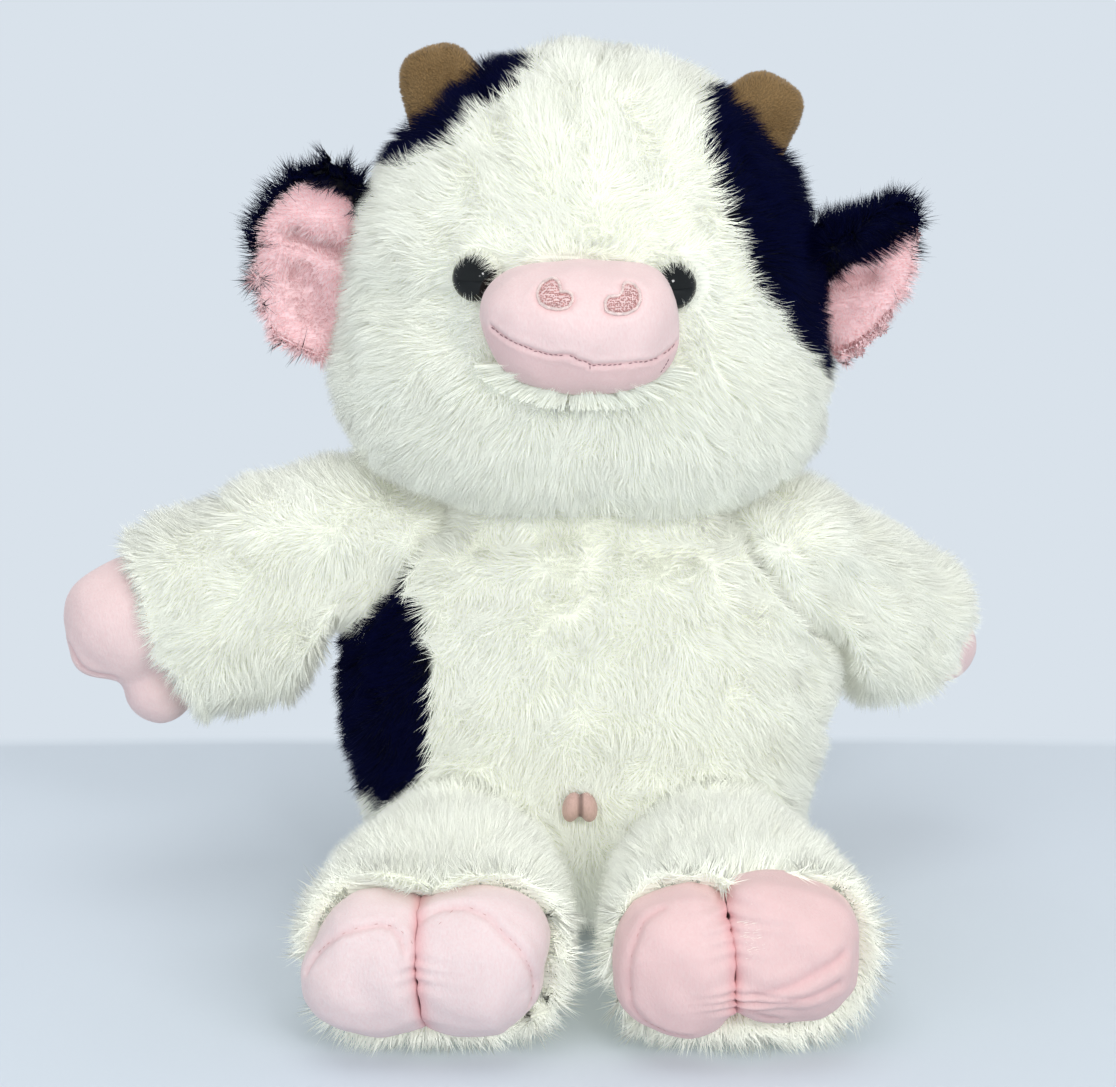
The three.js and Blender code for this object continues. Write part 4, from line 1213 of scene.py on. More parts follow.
def muzzle_fringe(tree):
    """Hairs of the chin that stand up over the muzzle's lower edge in tufts."""
    random = np.random.default_rng(65)
    face = tree_of(bpy.data.objects["head_backing"])
    starts, ends, normals = [], [], []
    for angle in random.uniform(*np.radians(FRINGE_ENDS), FRINGE_HAIRS):
        reach = reach_of(MUZZLE, MUZZLE_MIDDLE, angle)
        way = np.array((math.cos(angle), math.sin(angle)))
        over = 0.06 + 0.12 * (1 + math.sin(17 * angle + 2 * math.sin(7 * angle))) / 2
        shares = (random.uniform(1.06, 1.32), 1 - over * random.uniform(0.1, 1.2))
        low, high = (np.array(MUZZLE_MIDDLE) * MM + way * reach * share for share in shares)
        start, end = on_front(face, *low)[0], on_front(tree, *high)[0]
        if start is None or end is None or abs(low[0] / MM - FRINGE_GAP[0]) < FRINGE_GAP[1]:
            continue
        starts.append((start.x, start.y - random.uniform(2, 8) * MM, start.z))
        ends.append((end.x + random.normal() * 0.8 * MM, end.y - 1.1 * MM, end.z))
        normals.append((0, -1, -0.3))
    starts, normals, ends = (np.array(values, float) for values in (starts, normals, ends))
    return Pile.placed(66, starts, unit(normals), ends)


class PLUSH_OT_muzzle(bpy.types.Operator):
    """Make the brushed muzzle with its sewn mouth and nostrils"""

    bl_idname = "plush.muzzle"
    bl_label = "Muzzle"

    def execute(self, context):
        plush = context.scene.plush_plush
        piece = muzzle_form("muzzle_plush")
        muzzle_seams(piece)
        finished(piece, "head", "pink_plush", pink_look(plush), "muzzle_pad", "muzzle_lip", fill=0.6)
        tree = tree_of(piece)
        random = np.random.default_rng(6)
        pale = look_of("pale_thread", thread_look, plush.pale_thread)
        deep = look_of("loop_thread", thread_look, plush.thread)
        dark = look_of("dark_thread", thread_look, plush.dark_thread)
        for side, _ in SIDES:
            rim = nostril_rim(tree, NOSTRILS[side])
            piece = sewn(f"nostril_rim_{side}", rim, width=0.55 * MM, height=0.7 * MM)
            finished(piece, "head", "stitching", pale, f"nostril_{side}")
            loops = nostril_loops(tree, NOSTRILS[side], random)
            piece = sewn(f"nostril_loops_{side}", loops, width=0.42 * MM, height=0.7 * MM)
            finished(piece, "head", "stitching", deep)
        stitches = mouth_stitches(tree, random)
        piece = sewn("mouth_seam", stitches, width=0.34 * MM, height=0.36 * MM)
        finished(piece, "head", "stitching", dark, "mouth_thread")
        white = white_pile_look(context.scene.plush_fur)
        hairs = muzzle_fringe(tree)
        hairs.piece("muzzle_fringe", "head", "white_fur", white, thickness=0.34 * MM, sink=0.0)
        return {"FINISHED"}


class Eye:
    """The measures of an eye, read from its solids: where it sits, which way it looks, and how high its
    shank's end, its rim and its top are over its washer."""

    def __init__(self, side, way):
        washer = points_of(frame["nodes"][f"eye_washer_{side}"].data)
        solid = points_of(frame["nodes"][f"eye_{side}"].data)
        centre = washer.mean(axis=0)
        axis = np.linalg.svd(washer - centre)[2][2]
        self.axis = axis if axis[1] < 0 else -axis
        heights = (solid - centre) @ self.axis
        spread = np.linalg.norm(solid - centre - heights[:, None] * self.axis, axis=1)
        self.low, self.top = heights.min(), heights.max()
        self.rim = heights[spread > 0.98 * spread.max()].mean()
        self.radius = spread.max() * EYE_SHARE
        self.shank = spread[heights < self.low + 0.5 * MM].max()
        across, out, up = EYE_SHIFT
        self.centre = centre + (across * MM, way * out * MM, up * MM)
        self.aim = Vector(self.axis).to_track_quat("Z", "Y").to_matrix()

    def dome(self, name):
        """The shank and the polished dome, spun from half their section."""
        low, rim, top, radius, shank = self.low, self.rim, self.top, self.radius, self.shank
        profile = [(0, low), (shank, low), (shank, rim - 1.4 * MM), (radius - 0.9 * MM, rim - 1.4 * MM),
                   (radius - 0.25 * MM, rim - 0.9 * MM), (radius, rim)]
        profile += [(radius * math.cos(a), rim + (top - rim) * math.sin(a))
                    for a in np.linspace(0, math.pi / 2, 13)[1:-1]] + [(0, top)]
        form = bmesh.new()
        corners = [form.verts.new((r, 0, h)) for r, h in profile]
        line = [form.edges.new(pair) for pair in zip(corners, corners[1:])]
        bmesh.ops.spin(form, geom=corners + line, cent=(0, 0, 0), axis=(0, 0, 1), dvec=(0, 0, 0),
                       angle=2 * math.pi, steps=48, use_merge=True, use_duplicate=False)
        bmesh.ops.remove_doubles(form, verts=form.verts, dist=1e-5)
        bmesh.ops.recalc_face_normals(form, faces=form.faces)
        place = Matrix.Translation(self.centre) @ self.aim.to_4x4()
        bmesh.ops.transform(form, matrix=place, verts=form.verts)
        return from_bmesh(name, form)

    def fringe(self, way):
        """Hairs of the face that reach over the rim, most of them from above and from the nose."""
        random = np.random.default_rng(61 + way)
        angle = random.uniform(0, 2 * math.pi, EYE_HAIRS)
        turned = np.column_stack((np.cos(angle), np.sin(angle), 0 * angle)) @ np.array(self.aim).T
        inner = turned @ unit(np.array((-way, 0, 0.5)))
        likely = 0.22 + 0.5 * ease(inner, 0.3, 0.95) + 0.5 * ease(turned[:, 2], 0.2, 0.9)
        turned = turned[random.uniform(size=len(angle)) < likely]
        count = (len(turned), 1)
        start = self.centre + turned * (self.radius + random.uniform(0.6, 2.2, count) * MM)
        start = start + self.axis * (self.rim + random.uniform(-1.5, 1.0, count) * MM)
        inset = random.uniform(0.4, 3.0, count) * MM
        lift = (self.top - self.rim) * np.sqrt(1 - (1 - inset / self.radius) ** 2)
        stray = random.normal(size=(count[0], 3)) * 0.7 * MM
        end = (self.centre + turned * (self.radius - inset)
               + self.axis * (self.rim + lift + 0.8 * MM) + stray)
        return Pile.placed(63 + way, start, turned, end)


class PLUSH_OT_eyes(bpy.types.Operator):
    """Make the polished eyes and finish the washers behind them"""

    bl_idname = "plush.eyes"
    bl_label = "Eyes"

    def execute(self, context):
        gloss, plastic = look_of("eye_gloss", eye_look), look_of("washer", washer_look)
        white = white_pile_look(context.scene.plush_fur)
        for side, way in SIDES:
            eye = Eye(side, way)
            finished(eye.dome(f"eye_dome_{side}"), "head", "eye_plastic", gloss, f"eye_{side}")
            hairs = eye.fringe(way)
            hairs.piece(f"eye_fringe_{side}", "head", "white_fur", white, thickness=0.26 * MM,
                        sink=0.0)
            frame["nodes"][f"eye_washer_{side}"].material_slots[0].material = plastic
        return {"FINISHED"}


class PLUSH_OT_horns(bpy.types.Operator):
    """Make the horns with their short brown pile"""

    bl_idname = "plush.horns"
    bl_label = "Horns"

    def execute(self, context):
        plush = context.scene.plush_plush
        # The roots and the backing are darker brown: painted shade under the pile.
        brown = look_of("horn_pile", pile_look, scaled(plush.horn, 0.5), plush.horn)
        cloth = look_of("horn_backing", backing_look, scaled(plush.horn, 0.6), plush.horn)
        for number, (side, _) in enumerate(SIDES):
            node = f"horn_{side}"
            skin = stuffed_skin(f"horn_backing_{side}", "head", [node], [], 0.9 * MM, voxel=2 * MM,
                                rounds=6)
            middle = middle_of(node)
            move_points(skin.data, middle + (points_of(skin.data) - middle) * HORN_STRETCH)
            finished(skin, "head", "horn_plush", cloth, node, fill=0.8)
            pile = Pile(skin, density=430, seed=31 + number)
            to_tip = unit(middle - middle_of("head_cover"))
            ways = to_tip + 0.6 * ripples(pile.roots, seed=37 + number, size=9 * MM)
            pile.comb(ways, plush.horn_pile, leans=(20, 50), spread=0.6, sway=0.3, swirl=9 * MM)
            pile.gather(width=1.6 * MM, hold=0.3)
            pile.piece(f"horn_pile_{side}", "head", "horn_plush", brown, thickness=0.42 * MM,
                       sink=0.4 * MM)
        return {"FINISHED"}


def ear_shape(skin, side):
    """Fits an ear's skin to its outline, marks its dark back and its turned-over flap, and presses its
    folds in, marking them for painted shade."""
    points = points_of(skin.data)
    edge, top, broader, taller, drift = EAR_FITS[side]
    points[:, 0] = edge * MM + (points[:, 0] - edge * MM) * broader + drift * MM
    points[:, 2] = top * MM + (points[:, 2] - top * MM) * taller
    points = nudged(points, EAR_NUDGES[side], 11 * MM)
    move_points(skin.data, points)
    turned = normals_of(skin.data)[:, 1]
    behind = ease(turned, *EAR_BACKS[side])
    behind = np.where(points[:, 2] < EAR_LOWS[side] * MM, ease(turned, 0.86, 1.0), behind)
    over = points[:, 2] - line_at(points[:, 0], EAR_FLAPS[side])
    thick = (behind < 0.5) * ease(over, 0, 3 * MM) * (1 - ease(over, 12 * MM, 22 * MM))
    points[:, 1] -= thick * (EAR_FLAP_PUFFS[side] * MM)
    # The folds, and the hollow by the head, are marked: there the pile is shorter and darker, as
    # painted shade.
    fold = np.zeros(len(points))
    for outline, deep, wide in EAR_FOLDS[side]:
        line = drawn_on(skin, outline)
        normals = normals_of(skin.data)
        points, dip = pressed(points, normals, line, deep * MM, wide * MM, puff=0.3)
        fold = np.maximum(fold, dip)
    move_points(skin.data, points)
    painted(skin.data, "fold", fold)
    painted(skin.data, "dark", np.maximum(behind, ease(over, -1.2 * MM, 1.2 * MM)))


class PLUSH_OT_ears(bpy.types.Operator):
    """Make the ears: dark fur behind and a soft pink lining"""

    bl_idname = "plush.ears"
    bl_label = "Ears"

    def execute(self, context):
        fur, plush = context.scene.plush_fur, context.scene.plush_plush
        half = tuple(0.5 * (a + b) for a, b in zip(plush.deep, plush.ear))
        # The ear pile has deep pink roots, as painted shade, and a stronger glow, as painted light. The
        # pile in the folds is darker still, as painted shade.
        pink = look_of("ear_pile", pile_look, plush.deep, plush.ear, worn=BLUSH, glow=0.24)
        shaded = look_of("ear_fold_pile", pile_look, scaled(plush.deep, 0.85), half, worn=BLUSH)
        cloth = look_of("ear_backing", backing_look, plush.ear, fur.ink)
        for number, (side, _) in enumerate(SIDES):
            body = f"ear_{side}"
            back, lining = f"ear_back_{side}", f"ear_lining_{side}"
            skin = stuffed_skin(f"ear_skin_{side}", body, [back, lining], [], EAR_DEPTH,
                                voxel=1.8 * MM, rounds=8, bulging=False)
            ear_shape(skin, side)
            finished(skin, body, "navy_fur", cloth, back, lining, fill=0.3)
            pile = Pile(skin, density=300, seed=41 + 10 * number)
            root = joint_line(f"ear_root_{side}")[0]
            navy = pile.dark > 0.5
            back_ward = pile.normals[:, 1]
            on_rim = navy * ease(back_ward, -0.05, 0.1) * (1 - ease(back_ward, 0.5, 0.8))
            ways = unit(pile.roots - root) + 0.4 * pile.normals
            ways = ways + ~navy[:, None] * np.array((0, 0, -0.35)) + on_rim[:, None] * (0, 0.8, 0)
            short = plush.ear_pile * (1 - 0.35 * np.clip(pile.fold, 0, 1))
            pile.comb(ways, np.where(navy, EAR_FUR, short), leans=(14, 42), spread=0.35, sway=0.4,
                      swirl=14 * MM)
            pile.kept(np.linalg.norm(pile.roots - root, axis=1) > 3 * MM)
            pile.gather(width=2.6 * MM, hold=0.28)
            navy, deep = pile.dark > 0.5, pile.fold > 0.4
            for name, slot, look, keep in (("fur", "navy_fur", navy_pile_look(fur), navy),
                                           ("pile", "ear_plush", pink, ~navy & ~deep),
                                           ("fold", "ear_plush", shaded, ~navy & deep)):
                pile.piece(f"ear_{name}_{side}", body, slot, look, EAR_THICKNESS, keep)
        return {"FINISHED"}


def raised(points, side):
    """Lifts the end of the lowered arm a little over its solid, as its thick fur holds it."""
    if side == "right":
        return points
    shoulder = joint_line("shoulder_left")[0]
    far = np.linalg.norm(points - shoulder, axis=1) / (80 * MM)
    return points + np.clip(far, 0, 1.2)[:, None] * (6 * MM, 0, 9 * MM)


class PLUSH_OT_arms(bpy.types.Operator):
    """Make the furred sleeves of the arms"""

    bl_idname = "plush.arms"
    bl_label = "Arms"

    def execute(self, context):
        fur = context.scene.plush_fur
        for number, (side, _) in enumerate(SIDES):
            body = f"arm_{side}"
            nodes = [f"arm_sleeve_{side}", f"arm_stuffing_{side}"]
            hoof = f"arm_hoof_{side}"
            skin = stuffed_skin(f"arm_backing_{side}", body, nodes, ["torso_cover", hoof], fur.depth)
            shoulder = joint_line(f"shoulder_{side}")[0]
            along = unit(middle_of(hoof) - shoulder)
            points, normals = points_of(skin.data), normals_of(skin.data)
            outer = ease((points - shoulder) @ along, 5 * MM, 50 * MM)
            puff = ease(normals[:, 2], 0.0, 0.7) * (1 - outer)
            points = raised(points + normals * puff[:, None] * 6 * MM, side)
            move_points(skin.data, nudged(points, ARM_NUDGES[side], 22 * MM))
            painted(skin.data, "dark", np.zeros(len(skin.data.vertices)))
            finished(skin, body, "white_fur", backing(fur), *nodes, fill=0.65)
            pile = Pile(skin, fur.density, seed=51 + 10 * number)
            pile.comb(along + 0.55 * DOWN, fur.length * (0.6 + 0.4 * pile.room))
            hairs = unit(pile.tips - pile.roots)
            hoof = tree_of(bpy.data.objects[f"hoof_{side}"])
            pile.kept(clear_of(hoof, pile.roots, hairs, 9 * MM) & (pile.room > BURIED))
            tufted(pile, fur)
            pile.piece(f"arm_fur_{side}", body, "white_fur", white_pile_look(fur), fur.thickness)
        return {"FINISHED"}


class PLUSH_OT_hooves(bpy.types.Operator):
    """Make the soft pink hooves at the ends of the arms"""

    bl_idname = "plush.hooves"
    bl_label = "Hooves"

    def execute(self, context):
        plush = context.scene.plush_plush
        for side, _ in SIDES:
            node = f"arm_hoof_{side}"
            balls = stuffed_balls(f"hoof_{side}", HOOF_BALLS[side])
            piece = evened(balls, voxel=1.8 * MM, rounds=12, levels=1)
            points, normals = points_of(piece.data), normals_of(piece.data)
            fold = np.zeros(len(points))
            if side == "right":
                line = drawn_on(piece, HOOF_CREASE)
                points, dip = pressed(points, normals, line, depth=0.9 * MM, width=1.3 * MM, puff=0.4)
                # Painted shade in the pressed crease.
                fold = 0.3 * dip
            points = wavy(points, normals, seed=15, size=26 * MM, depth=0.25 * MM)
            move_points(piece.data, points)
            painted(piece.data, "fold", fold)
            finished(piece, f"arm_{side}", "pink_plush", pink_look(plush), node, fill=0.6)
        return {"FINISHED"}


def laid_along(pile, tree):
    """Turns the hairs that would run into a piece along its surface, and tells which roots are outside
    it."""
    outside = np.ones(len(pile.roots), dtype=bool)
    for number, (root, tip) in enumerate(zip(pile.roots, pile.tips)):
        place, normal, _, away = tree.find_nearest(Vector(root), 9 * MM)
        if place is None:
            continue
        normal, hair = np.array(normal), tip - root
        outside[number] = (root - place) @ normal > 0
        inwards, length = hair @ normal, np.linalg.norm(hair)
        if inwards < 0:
            turned = hair - inwards * normal + 0.1 * length * normal
            pile.tips[number] = root + unit(turned) * length
    return outside


class PLUSH_OT_legs(bpy.types.Operator):
    """Make the furred sleeves of the legs"""

    bl_idname = "plush.legs"
    bl_label = "Legs"

    def execute(self, context):
        fur = context.scene.plush_fur
        for number, (side, _) in enumerate(SIDES):
            body = f"leg_{side}"
            nodes = [f"leg_sleeve_{side}", f"leg_stuffing_{side}"]
            skin = stuffed_skin(f"leg_backing_{side}", body, nodes, ["torso_cover"], fur.depth)
            painted(skin.data, "dark", np.zeros(len(skin.data.vertices)))
            finished(skin, body, "white_fur", backing(fur), *nodes, fill=0.65)
            pile = Pile(skin, fur.density, seed=71 + 10 * number)
            hip = joint_line(f"hip_{side}")[0]
            along = unit(middle_of(*TOES[side]) - hip)
            out = pile.roots - hip
            out = unit(out - (out @ along)[:, None] * along)
            sole = ease((pile.roots - hip) @ along, 62 * MM, 84 * MM)[:, None]
            toes = [tree_of(bpy.data.objects[plush_name(node)]) for node in TOES[side]]
            near = np.min([distances(toe, pile.roots) for toe in toes], axis=0)
            by_toe = 1 - ease(near, 3 * MM, 12 * MM)[:, None]
            ways = (0.75 - 0.45 * by_toe) * out + (0.4 + 0.8 * by_toe) * along + 0.1 * DOWN
            length = fur.length * (0.6 + 0.4 * pile.room + 0.15 * sole[:, 0])
            pile.comb(ways, length, spread=0.8, lift=0.65 + 0.35 * by_toe[:, 0])
            outside = pile.room > BURIED
            for toe in toes:
                outside &= laid_along(pile, toe)
            pile.kept(outside)
            tufted(pile, fur)
            pile.piece(f"leg_fur_{side}", body, "white_fur", leg_pile_look(fur), fur.thickness)
        return {"FINISHED"}


def toe_shape(piece, node, side):
    """Draws a toe in at the cleft with puckers, presses its seam and creases in, and marks its folds
    for painted shade."""
    tree = tree_of(piece)
    points, normals = points_of(piece.data), normals_of(piece.data)
    cleft = CLEFTS[side] * MM
    between = 1 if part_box(node)[0][0] > cleft - 5 * MM else -1
    apart = (points[:, 0] - cleft) * between
    apart = np.maximum(apart - 2.0 * MM * np.exp(-apart / (7 * MM)), 0.08 * MM)
    points[:, 0] = cleft + between * apart
    depth, pitch, reach = PUCKERS[side]
    points = puckered(points, normals, apart, depth * MM, pitch * MM, reach * MM, seed=25)
    apart = np.maximum((points[:, 0] - cleft) * between, -0.1 * MM)
    points[:, 0] = cleft + between * apart
    # Painted shade: darkest in the cleft where the toes meet, and lighter in the seam and the creases.
    fold = 0.7 * np.exp(-(apart / (2.4 * MM)) ** 2)
    if node in TOE_SEAMS:
        line = [place for place, _ in traced(tree, TOE_SEAMS[node])]
        deep = TOE_SEAM_DEPTHS[side] * MM
        points, dip = pressed(points, normals, line, deep, width=1.2 * MM, puff=0.5)
        fold = np.maximum(fold, 0.22 * dip)
    for outline in TOE_CREASES.get(node, ()):
        line = [place for place, _ in traced(tree, outline)]
        points, dip = pressed(points, normals, line, depth=0.8 * MM, width=1.5 * MM, puff=0.6)
        fold = np.maximum(fold, 0.25 * dip)
    points = wavy(points, normals, seed=27, size=19 * MM, depth=0.35 * MM)
    bend = line_at(points[:, 2], CLEFT_BENDS[side])
    points[:, 0] += bend * np.exp(-(np.maximum(apart, 0) / (12 * MM)) ** 2)
    move_points(piece.data, points)
    painted(piece.data, "fold", fold)


def cleft_fringe():
    """Hairs of the sleeve that come out of the top of the left foot's cleft."""
    random = np.random.default_rng(29)
    up = random.uniform(size=190) ** 0.6 * 24 + 29
    tree = tree_of(bpy.data.objects["toe_plush_outer_left"])
    across = np.interp(up, *np.array(CLEFT_BENDS["left"]).T) + CLEFTS["left"]
    starts = np.array([on_front(tree, (x + 1.0) * MM, z * MM)[0] or (0, 0, 0)
                       for x, z in zip(across, up)])
    starts[:, 1] += 1.5 * MM
    reach = random.uniform(3, 9, len(up))
    rise = random.uniform(-0.2, 0.5, len(up))
    ends = starts + columns(reach, -2.5 - 0.35 * reach + 0.03 * reach ** 2, reach * rise) * MM
    met = np.linalg.norm(starts, axis=1) > 0.05
    return Pile.placed(30, starts[met], np.tile((0.0, -1.0, 0.0), (met.sum(), 1)), ends[met])


class PLUSH_OT_toes(bpy.types.Operator):
    """Make the stuffed toes of the feet, with the seams of their soles"""

    bl_idname = "plush.toes"
    bl_label = "Toes"

    def execute(self, context):
        plush = context.scene.plush_plush
        for side, _ in SIDES:
            pink = TOE_PINKS[side]
            look = look_of(f"{pink}_plush", plush_look, getattr(plush, pink), plush.deep)
            for node in TOES[side]:
                piece = copy_of(plush_name(node), [node])
                evened(piece, voxel=1.6 * MM, rounds=9, levels=1)
                move_points(piece.data, nudged(points_of(piece.data), TOE_NUDGES[side], 11 * MM))
                toe_shape(piece, node, side)
                finished(piece, f"leg_{side}", "pink_plush", look, node, fill=0.7)
                if node in TOE_SEAMS:
                    self.sew(piece, node, side, look_of("toe_thread", thread_look, plush.thread))
        white = white_pile_look(context.scene.plush_fur)
        hairs = cleft_fringe()
        hairs.piece("toe_cleft_fringe", "leg_left", "white_fur", white, thickness=0.3 * MM, sink=0.0)
        return {"FINISHED"}

    def sew(self, piece, node, side, thread):
        """Makes the stitches of a toe's seam, of which some are lost in the plush."""
        random = np.random.default_rng(28)
        places = traced(tree_of(piece), TOE_SEAMS[node], spacing=2.1 * MM)
        stitches = seam_stitches(places, long=1.4 * MM, short=0.9 * MM, lift=0.0)
        seen = [stitch for stitch in stitches if random.uniform() < 0.6]
        seam = sewn(f"{node}_seam", seen, width=0.2 * MM, height=0.22 * MM)
        finished(seam, f"leg_{side}", "stitching", thread)


class PLUSH_OT_nub(bpy.types.Operator):
    """Make the little folded nub on the belly"""

    bl_idname = "plush.nub"
    bl_label = "Belly nub"

    def execute(self, context):
        plush = context.scene.plush_plush
        x, y, z = middle_of("belly_nub")
        form = bmesh.new()
        for side, lean in ((-1, 0.25), (1, -0.2)):
            place = Matrix.Translation((x + side * 2.6 * MM, y + 0.4 * MM, z))
            place = place @ Matrix.Rotation(lean, 4, "Y")
            place = place @ Matrix.Diagonal((3.2 * MM, 4.6 * MM, 5.1 * MM, 1))
            bmesh.ops.create_uvsphere(form, u_segments=24, v_segments=16, radius=1, matrix=place)
        piece = evened(from_bmesh("belly_fold", form), voxel=0.6 * MM, rounds=2, levels=1)
        points = points_of(piece.data)
        # Painted shade: the fold between the lobes is much darker, and the rest of the nub a little
        # darker too.
        fold = 1 - ease(np.abs(points[:, 0] - x - 0.2 * MM), 0.2 * MM, 1.6 * MM)
        painted(piece.data, "fold", np.maximum(0.15, fold))
        look = look_of("dusky_plush", plush_look, plush.dusky, scaled(plush.dusky, 0.4))
        finished(piece, "torso", "pink_plush", look, "belly_nub", fill=0.4)
        return {"FINISHED"}


class PLUSH_OT_tail(bpy.types.Operator):
    """Make the tail with its tuft"""

    bl_idname = "plush.tail"
    bl_label = "Tail"

    def execute(self, context):
        fur = context.scene.plush_fur
        root = joint_line("tail_root")[0]
        parts = (("cord", 3.2 * MM, 5.0 * MM, 190, "white_fur", white_pile_look(fur)),
                 ("tuft", 5 * MM, 11 * MM, 230, "navy_fur", navy_pile_look(fur)))
        for number, (name, depth, length, density, slot, look) in enumerate(parts):
            node = f"tail_{name}"
            skin = stuffed_skin(f"{node}_backing", "tail", [node], ["torso_cover"], depth,
                                voxel=2 * MM, rounds=6)
            painted(skin.data, "dark", np.full(len(skin.data.vertices), float(name == "tuft")))
            finished(skin, "tail", slot, backing(fur), node, fill=0.7)
            pile = Pile(skin, density, seed=91 + 3 * number)
            ways = np.broadcast_to(unit(middle_of("tail_tuft") - root), pile.roots.shape)
            pile.comb(ways, length, leans=(20, 58))
            pile.kept(np.linalg.norm(pile.roots - root, axis=1) > 9 * MM)
            pile.gather(width=4 * MM, hold=0.6)
            pile.piece(f"{node}_fur", "tail", slot, look, fur.thickness)
        return {"FINISHED"}


def seen_paths(look):
    """One for what the camera sees, also in gloss and through glass, and nothing for other light."""
    camera, gloss, glass = (look.add("ShaderNodeLightPath", output=place) for place in (0, 3, 6))
    either = look.add("ShaderNodeMath", {"operation": "MAXIMUM"}, {0: gloss, 1: glass})
    return look.add("ShaderNodeMath", {"operation": "MAXIMUM"}, {0: camera, 1: either})


FLOOR_RADIUS, FLOOR_END = 3.0, (0.186, 0.2)  # how far back the floor's colour turns to the backdrop's
LAMPS_AIM = (0, 0, 0.14)
SMALL_LAMP = 0.3  # smaller lamps than this are seen in gloss, as sparks in the eyes
CAMERA_PLACE, CAMERA_AIM = (-0.0092, -0.9703, 0.3726), (-0.0092, 0, 0.1307)


def turned_to(place, aim):
    """How a lamp or a camera at a place is turned to look at an aim."""
    return (Vector(aim) - Vector(place)).to_track_quat("-Z", "Y").to_euler()


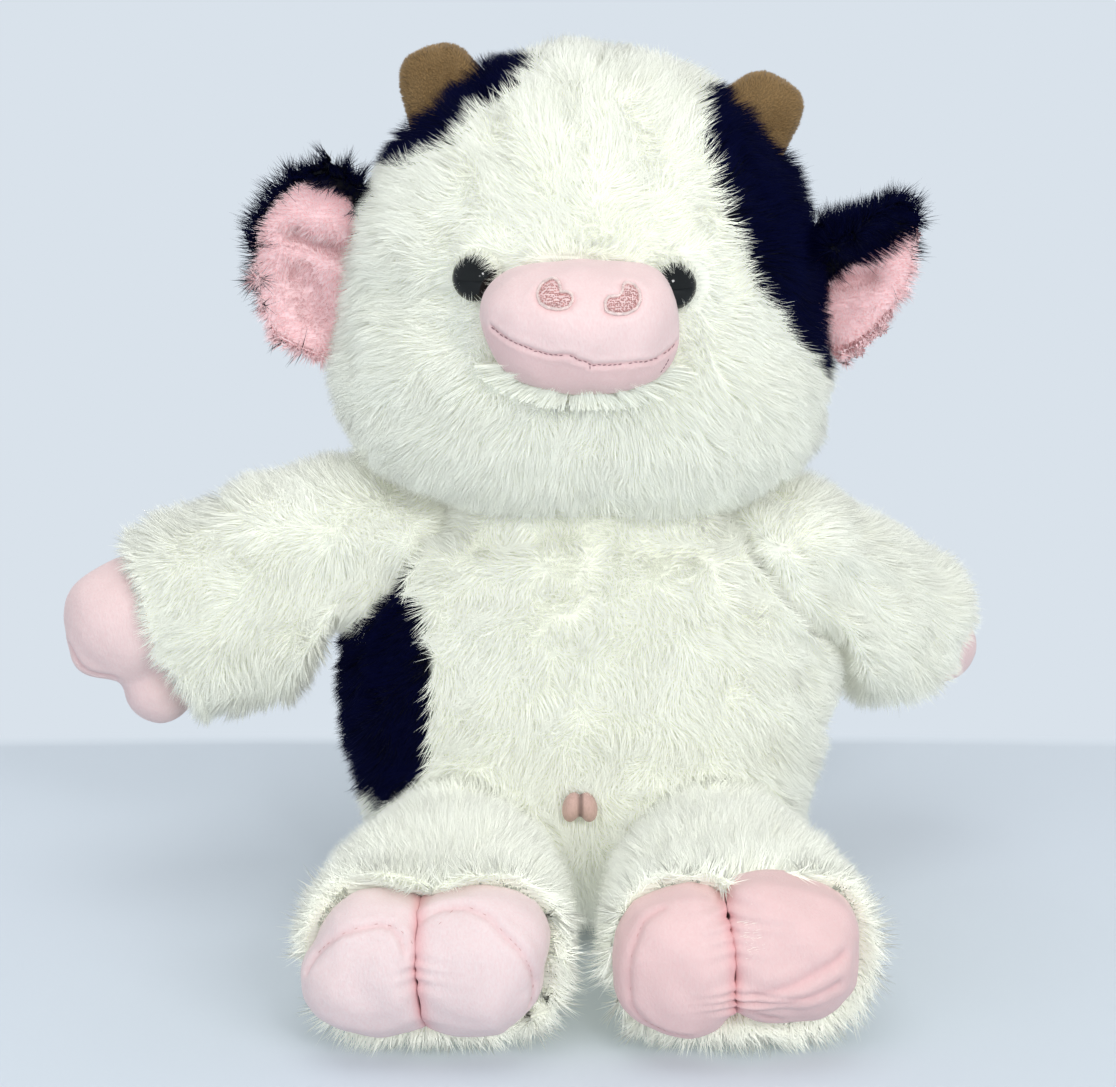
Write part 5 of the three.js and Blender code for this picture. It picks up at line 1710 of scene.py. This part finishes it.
class PLUSH_OT_studio(bpy.types.Operator):
    """Make the floor, the light and the camera"""

    bl_idname = "plush.studio"
    bl_label = "Studio"

    def execute(self, context):
        studio = context.scene.plush_studio
        self.floor(studio)
        self.air(context.scene, studio)
        self.lamps(context.scene, studio)
        self.camera(context.scene, studio)
        context.scene.view_settings.view_transform = "Standard"
        return {"FINISHED"}

    def floor(self, studio):
        """A round floor that turns into the backdrop behind the toy."""
        form = bmesh.new()
        bmesh.ops.create_circle(form, cap_ends=True, segments=96, radius=FLOOR_RADIUS)
        floor = from_bmesh("studio_floor", form, smooth=False)
        look = Look("studio_floor")
        where = look.place()
        depth = look.add("ShaderNodeSeparateXYZ", None, {0: where}, output=1)
        far = look.between(depth + look.noise(where, 9.0) * 0.01, *FLOOR_END)
        grain = look.noise(where, 700.0, 2.0)
        colour = look.mix(far, studio.floor, studio.backdrop)
        cloth = look.add("ShaderNodeBsdfPrincipled", None, {
            "Base Color": colour, "Roughness": look.between(grain, 0.3, 0.7, 0.75, 0.9),
            "Normal": look.bump(grain, 0.1 * MM, 0.3)})
        air = look.add("ShaderNodeEmission", None, {"Color": (*studio.backdrop, 1), "Strength": 1.0})
        surface = look.add("ShaderNodeMixShader", None, {0: far * seen_paths(look), 1: cloth, 2: air})
        look.add("ShaderNodeOutputMaterial", None, {"Surface": surface})
        floor.data.materials.append(look.material)

    def air(self, scene, studio):
        """Even daylight from all round, with the backdrop's colour where the camera sees it."""
        world = bpy.data.worlds.new("studio_air")
        scene.world = world
        world.use_nodes = True
        air = Look("studio_air", world.node_tree)
        around = air.add("ShaderNodeBackground", None,
                         {"Color": (0.95, 0.975, 1.0, 1), "Strength": studio.around})
        behind = air.add("ShaderNodeBackground", None,
                         {"Color": (*studio.backdrop, 1), "Strength": 1.0})
        surface = air.add("ShaderNodeMixShader", None, {0: seen_paths(air), 1: around, 2: behind})
        air.add("ShaderNodeOutputWorld", None, {"Surface": surface})

    def lamps(self, scene, studio):
        """Large soft lamps, and two small ones for the sparks in the eyes."""
        for name, place, size, power, colour in (
                ("key_lamp", (0.65, -1.15, 0.66), 0.6, studio.key, (1.0, 0.985, 0.955)),
                ("fill_lamp", (-1.0, -1.6, 0.75), 1.4, 2 * studio.fill, (0.93, 0.965, 1.0)),
                ("top_lamp", (-0.1, -0.45, 1.25), 0.9, 0.95 * studio.fill, (1.0, 1.0, 1.0)),
                ("back_lamp", (-0.4, 1.1, 0.8), 1.0, studio.fill, (0.97, 0.985, 1.0)),
                ("spark_lamp", (0.3, -1.2, 0.75), 0.2, 2.4, (1.0, 1.0, 1.0)),
                ("low_spark_lamp", (0.0, -1.25, 0.55), 0.1, 0.3, (1.0, 1.0, 1.0))):
            lamp = bpy.data.lights.new(name, "AREA")
            lamp.shape, lamp.size, lamp.energy, lamp.color = "DISK", size, power, colour
            stand = bpy.data.objects.new(name, lamp)
            stand.location = place
            stand.rotation_euler = turned_to(place, LAMPS_AIM)
            stand.visible_glossy = size < SMALL_LAMP
            scene.collection.objects.link(stand)

    def camera(self, scene, studio):
        camera = bpy.data.cameras.new("studio_camera")
        camera.lens, camera.sensor_width, camera.sensor_fit = studio.lens, 36, "HORIZONTAL"
        stand = bpy.data.objects.new("studio_camera", camera)
        stand.location = CAMERA_PLACE
        stand.rotation_euler = turned_to(CAMERA_PLACE, CAMERA_AIM)
        scene.collection.objects.link(stand)
        scene.camera = stand


class PLUSH_PT_pieces(bpy.types.Panel):
    """Lists the pieces of the plush cow and their settings"""

    bl_label = "Plush cow"
    bl_idname = "PLUSH_PT_pieces"
    bl_space_type = "VIEW_3D"
    bl_region_type = "UI"
    bl_category = "Plush cow"

    def draw(self, context):
        for name in ("plush_fur", "plush_plush", "plush_studio"):
            settings = getattr(context.scene, name)
            box = self.layout.box()
            for setting in settings.__annotations__:
                box.prop(settings, setting)
        for operator in PIECES:
            self.layout.operator(operator.bl_idname)


PIECES = (PLUSH_OT_torso, PLUSH_OT_nub, PLUSH_OT_head, PLUSH_OT_muzzle, PLUSH_OT_eyes, PLUSH_OT_horns,
          PLUSH_OT_ears, PLUSH_OT_hooves, PLUSH_OT_arms, PLUSH_OT_toes, PLUSH_OT_legs, PLUSH_OT_tail,
          PLUSH_OT_studio)
CLASSES = (FurSettings, PlushSettings, StudioSettings, *PIECES, PLUSH_PT_pieces)


def register():
    for part in CLASSES:
        bpy.utils.register_class(part)
    bpy.types.Scene.plush_fur = PointerProperty(type=FurSettings)
    bpy.types.Scene.plush_plush = PointerProperty(type=PlushSettings)
    bpy.types.Scene.plush_studio = PointerProperty(type=StudioSettings)


def unregister():
    del bpy.types.Scene.plush_studio
    del bpy.types.Scene.plush_plush
    del bpy.types.Scene.plush_fur
    for part in reversed(CLASSES):
        bpy.utils.unregister_class(part)


def main():
    register()
    for operator in PIECES:
        group, name = operator.bl_idname.split(".")
        getattr(getattr(bpy.ops, group), name)()


if __name__ == "__main__":
    main()
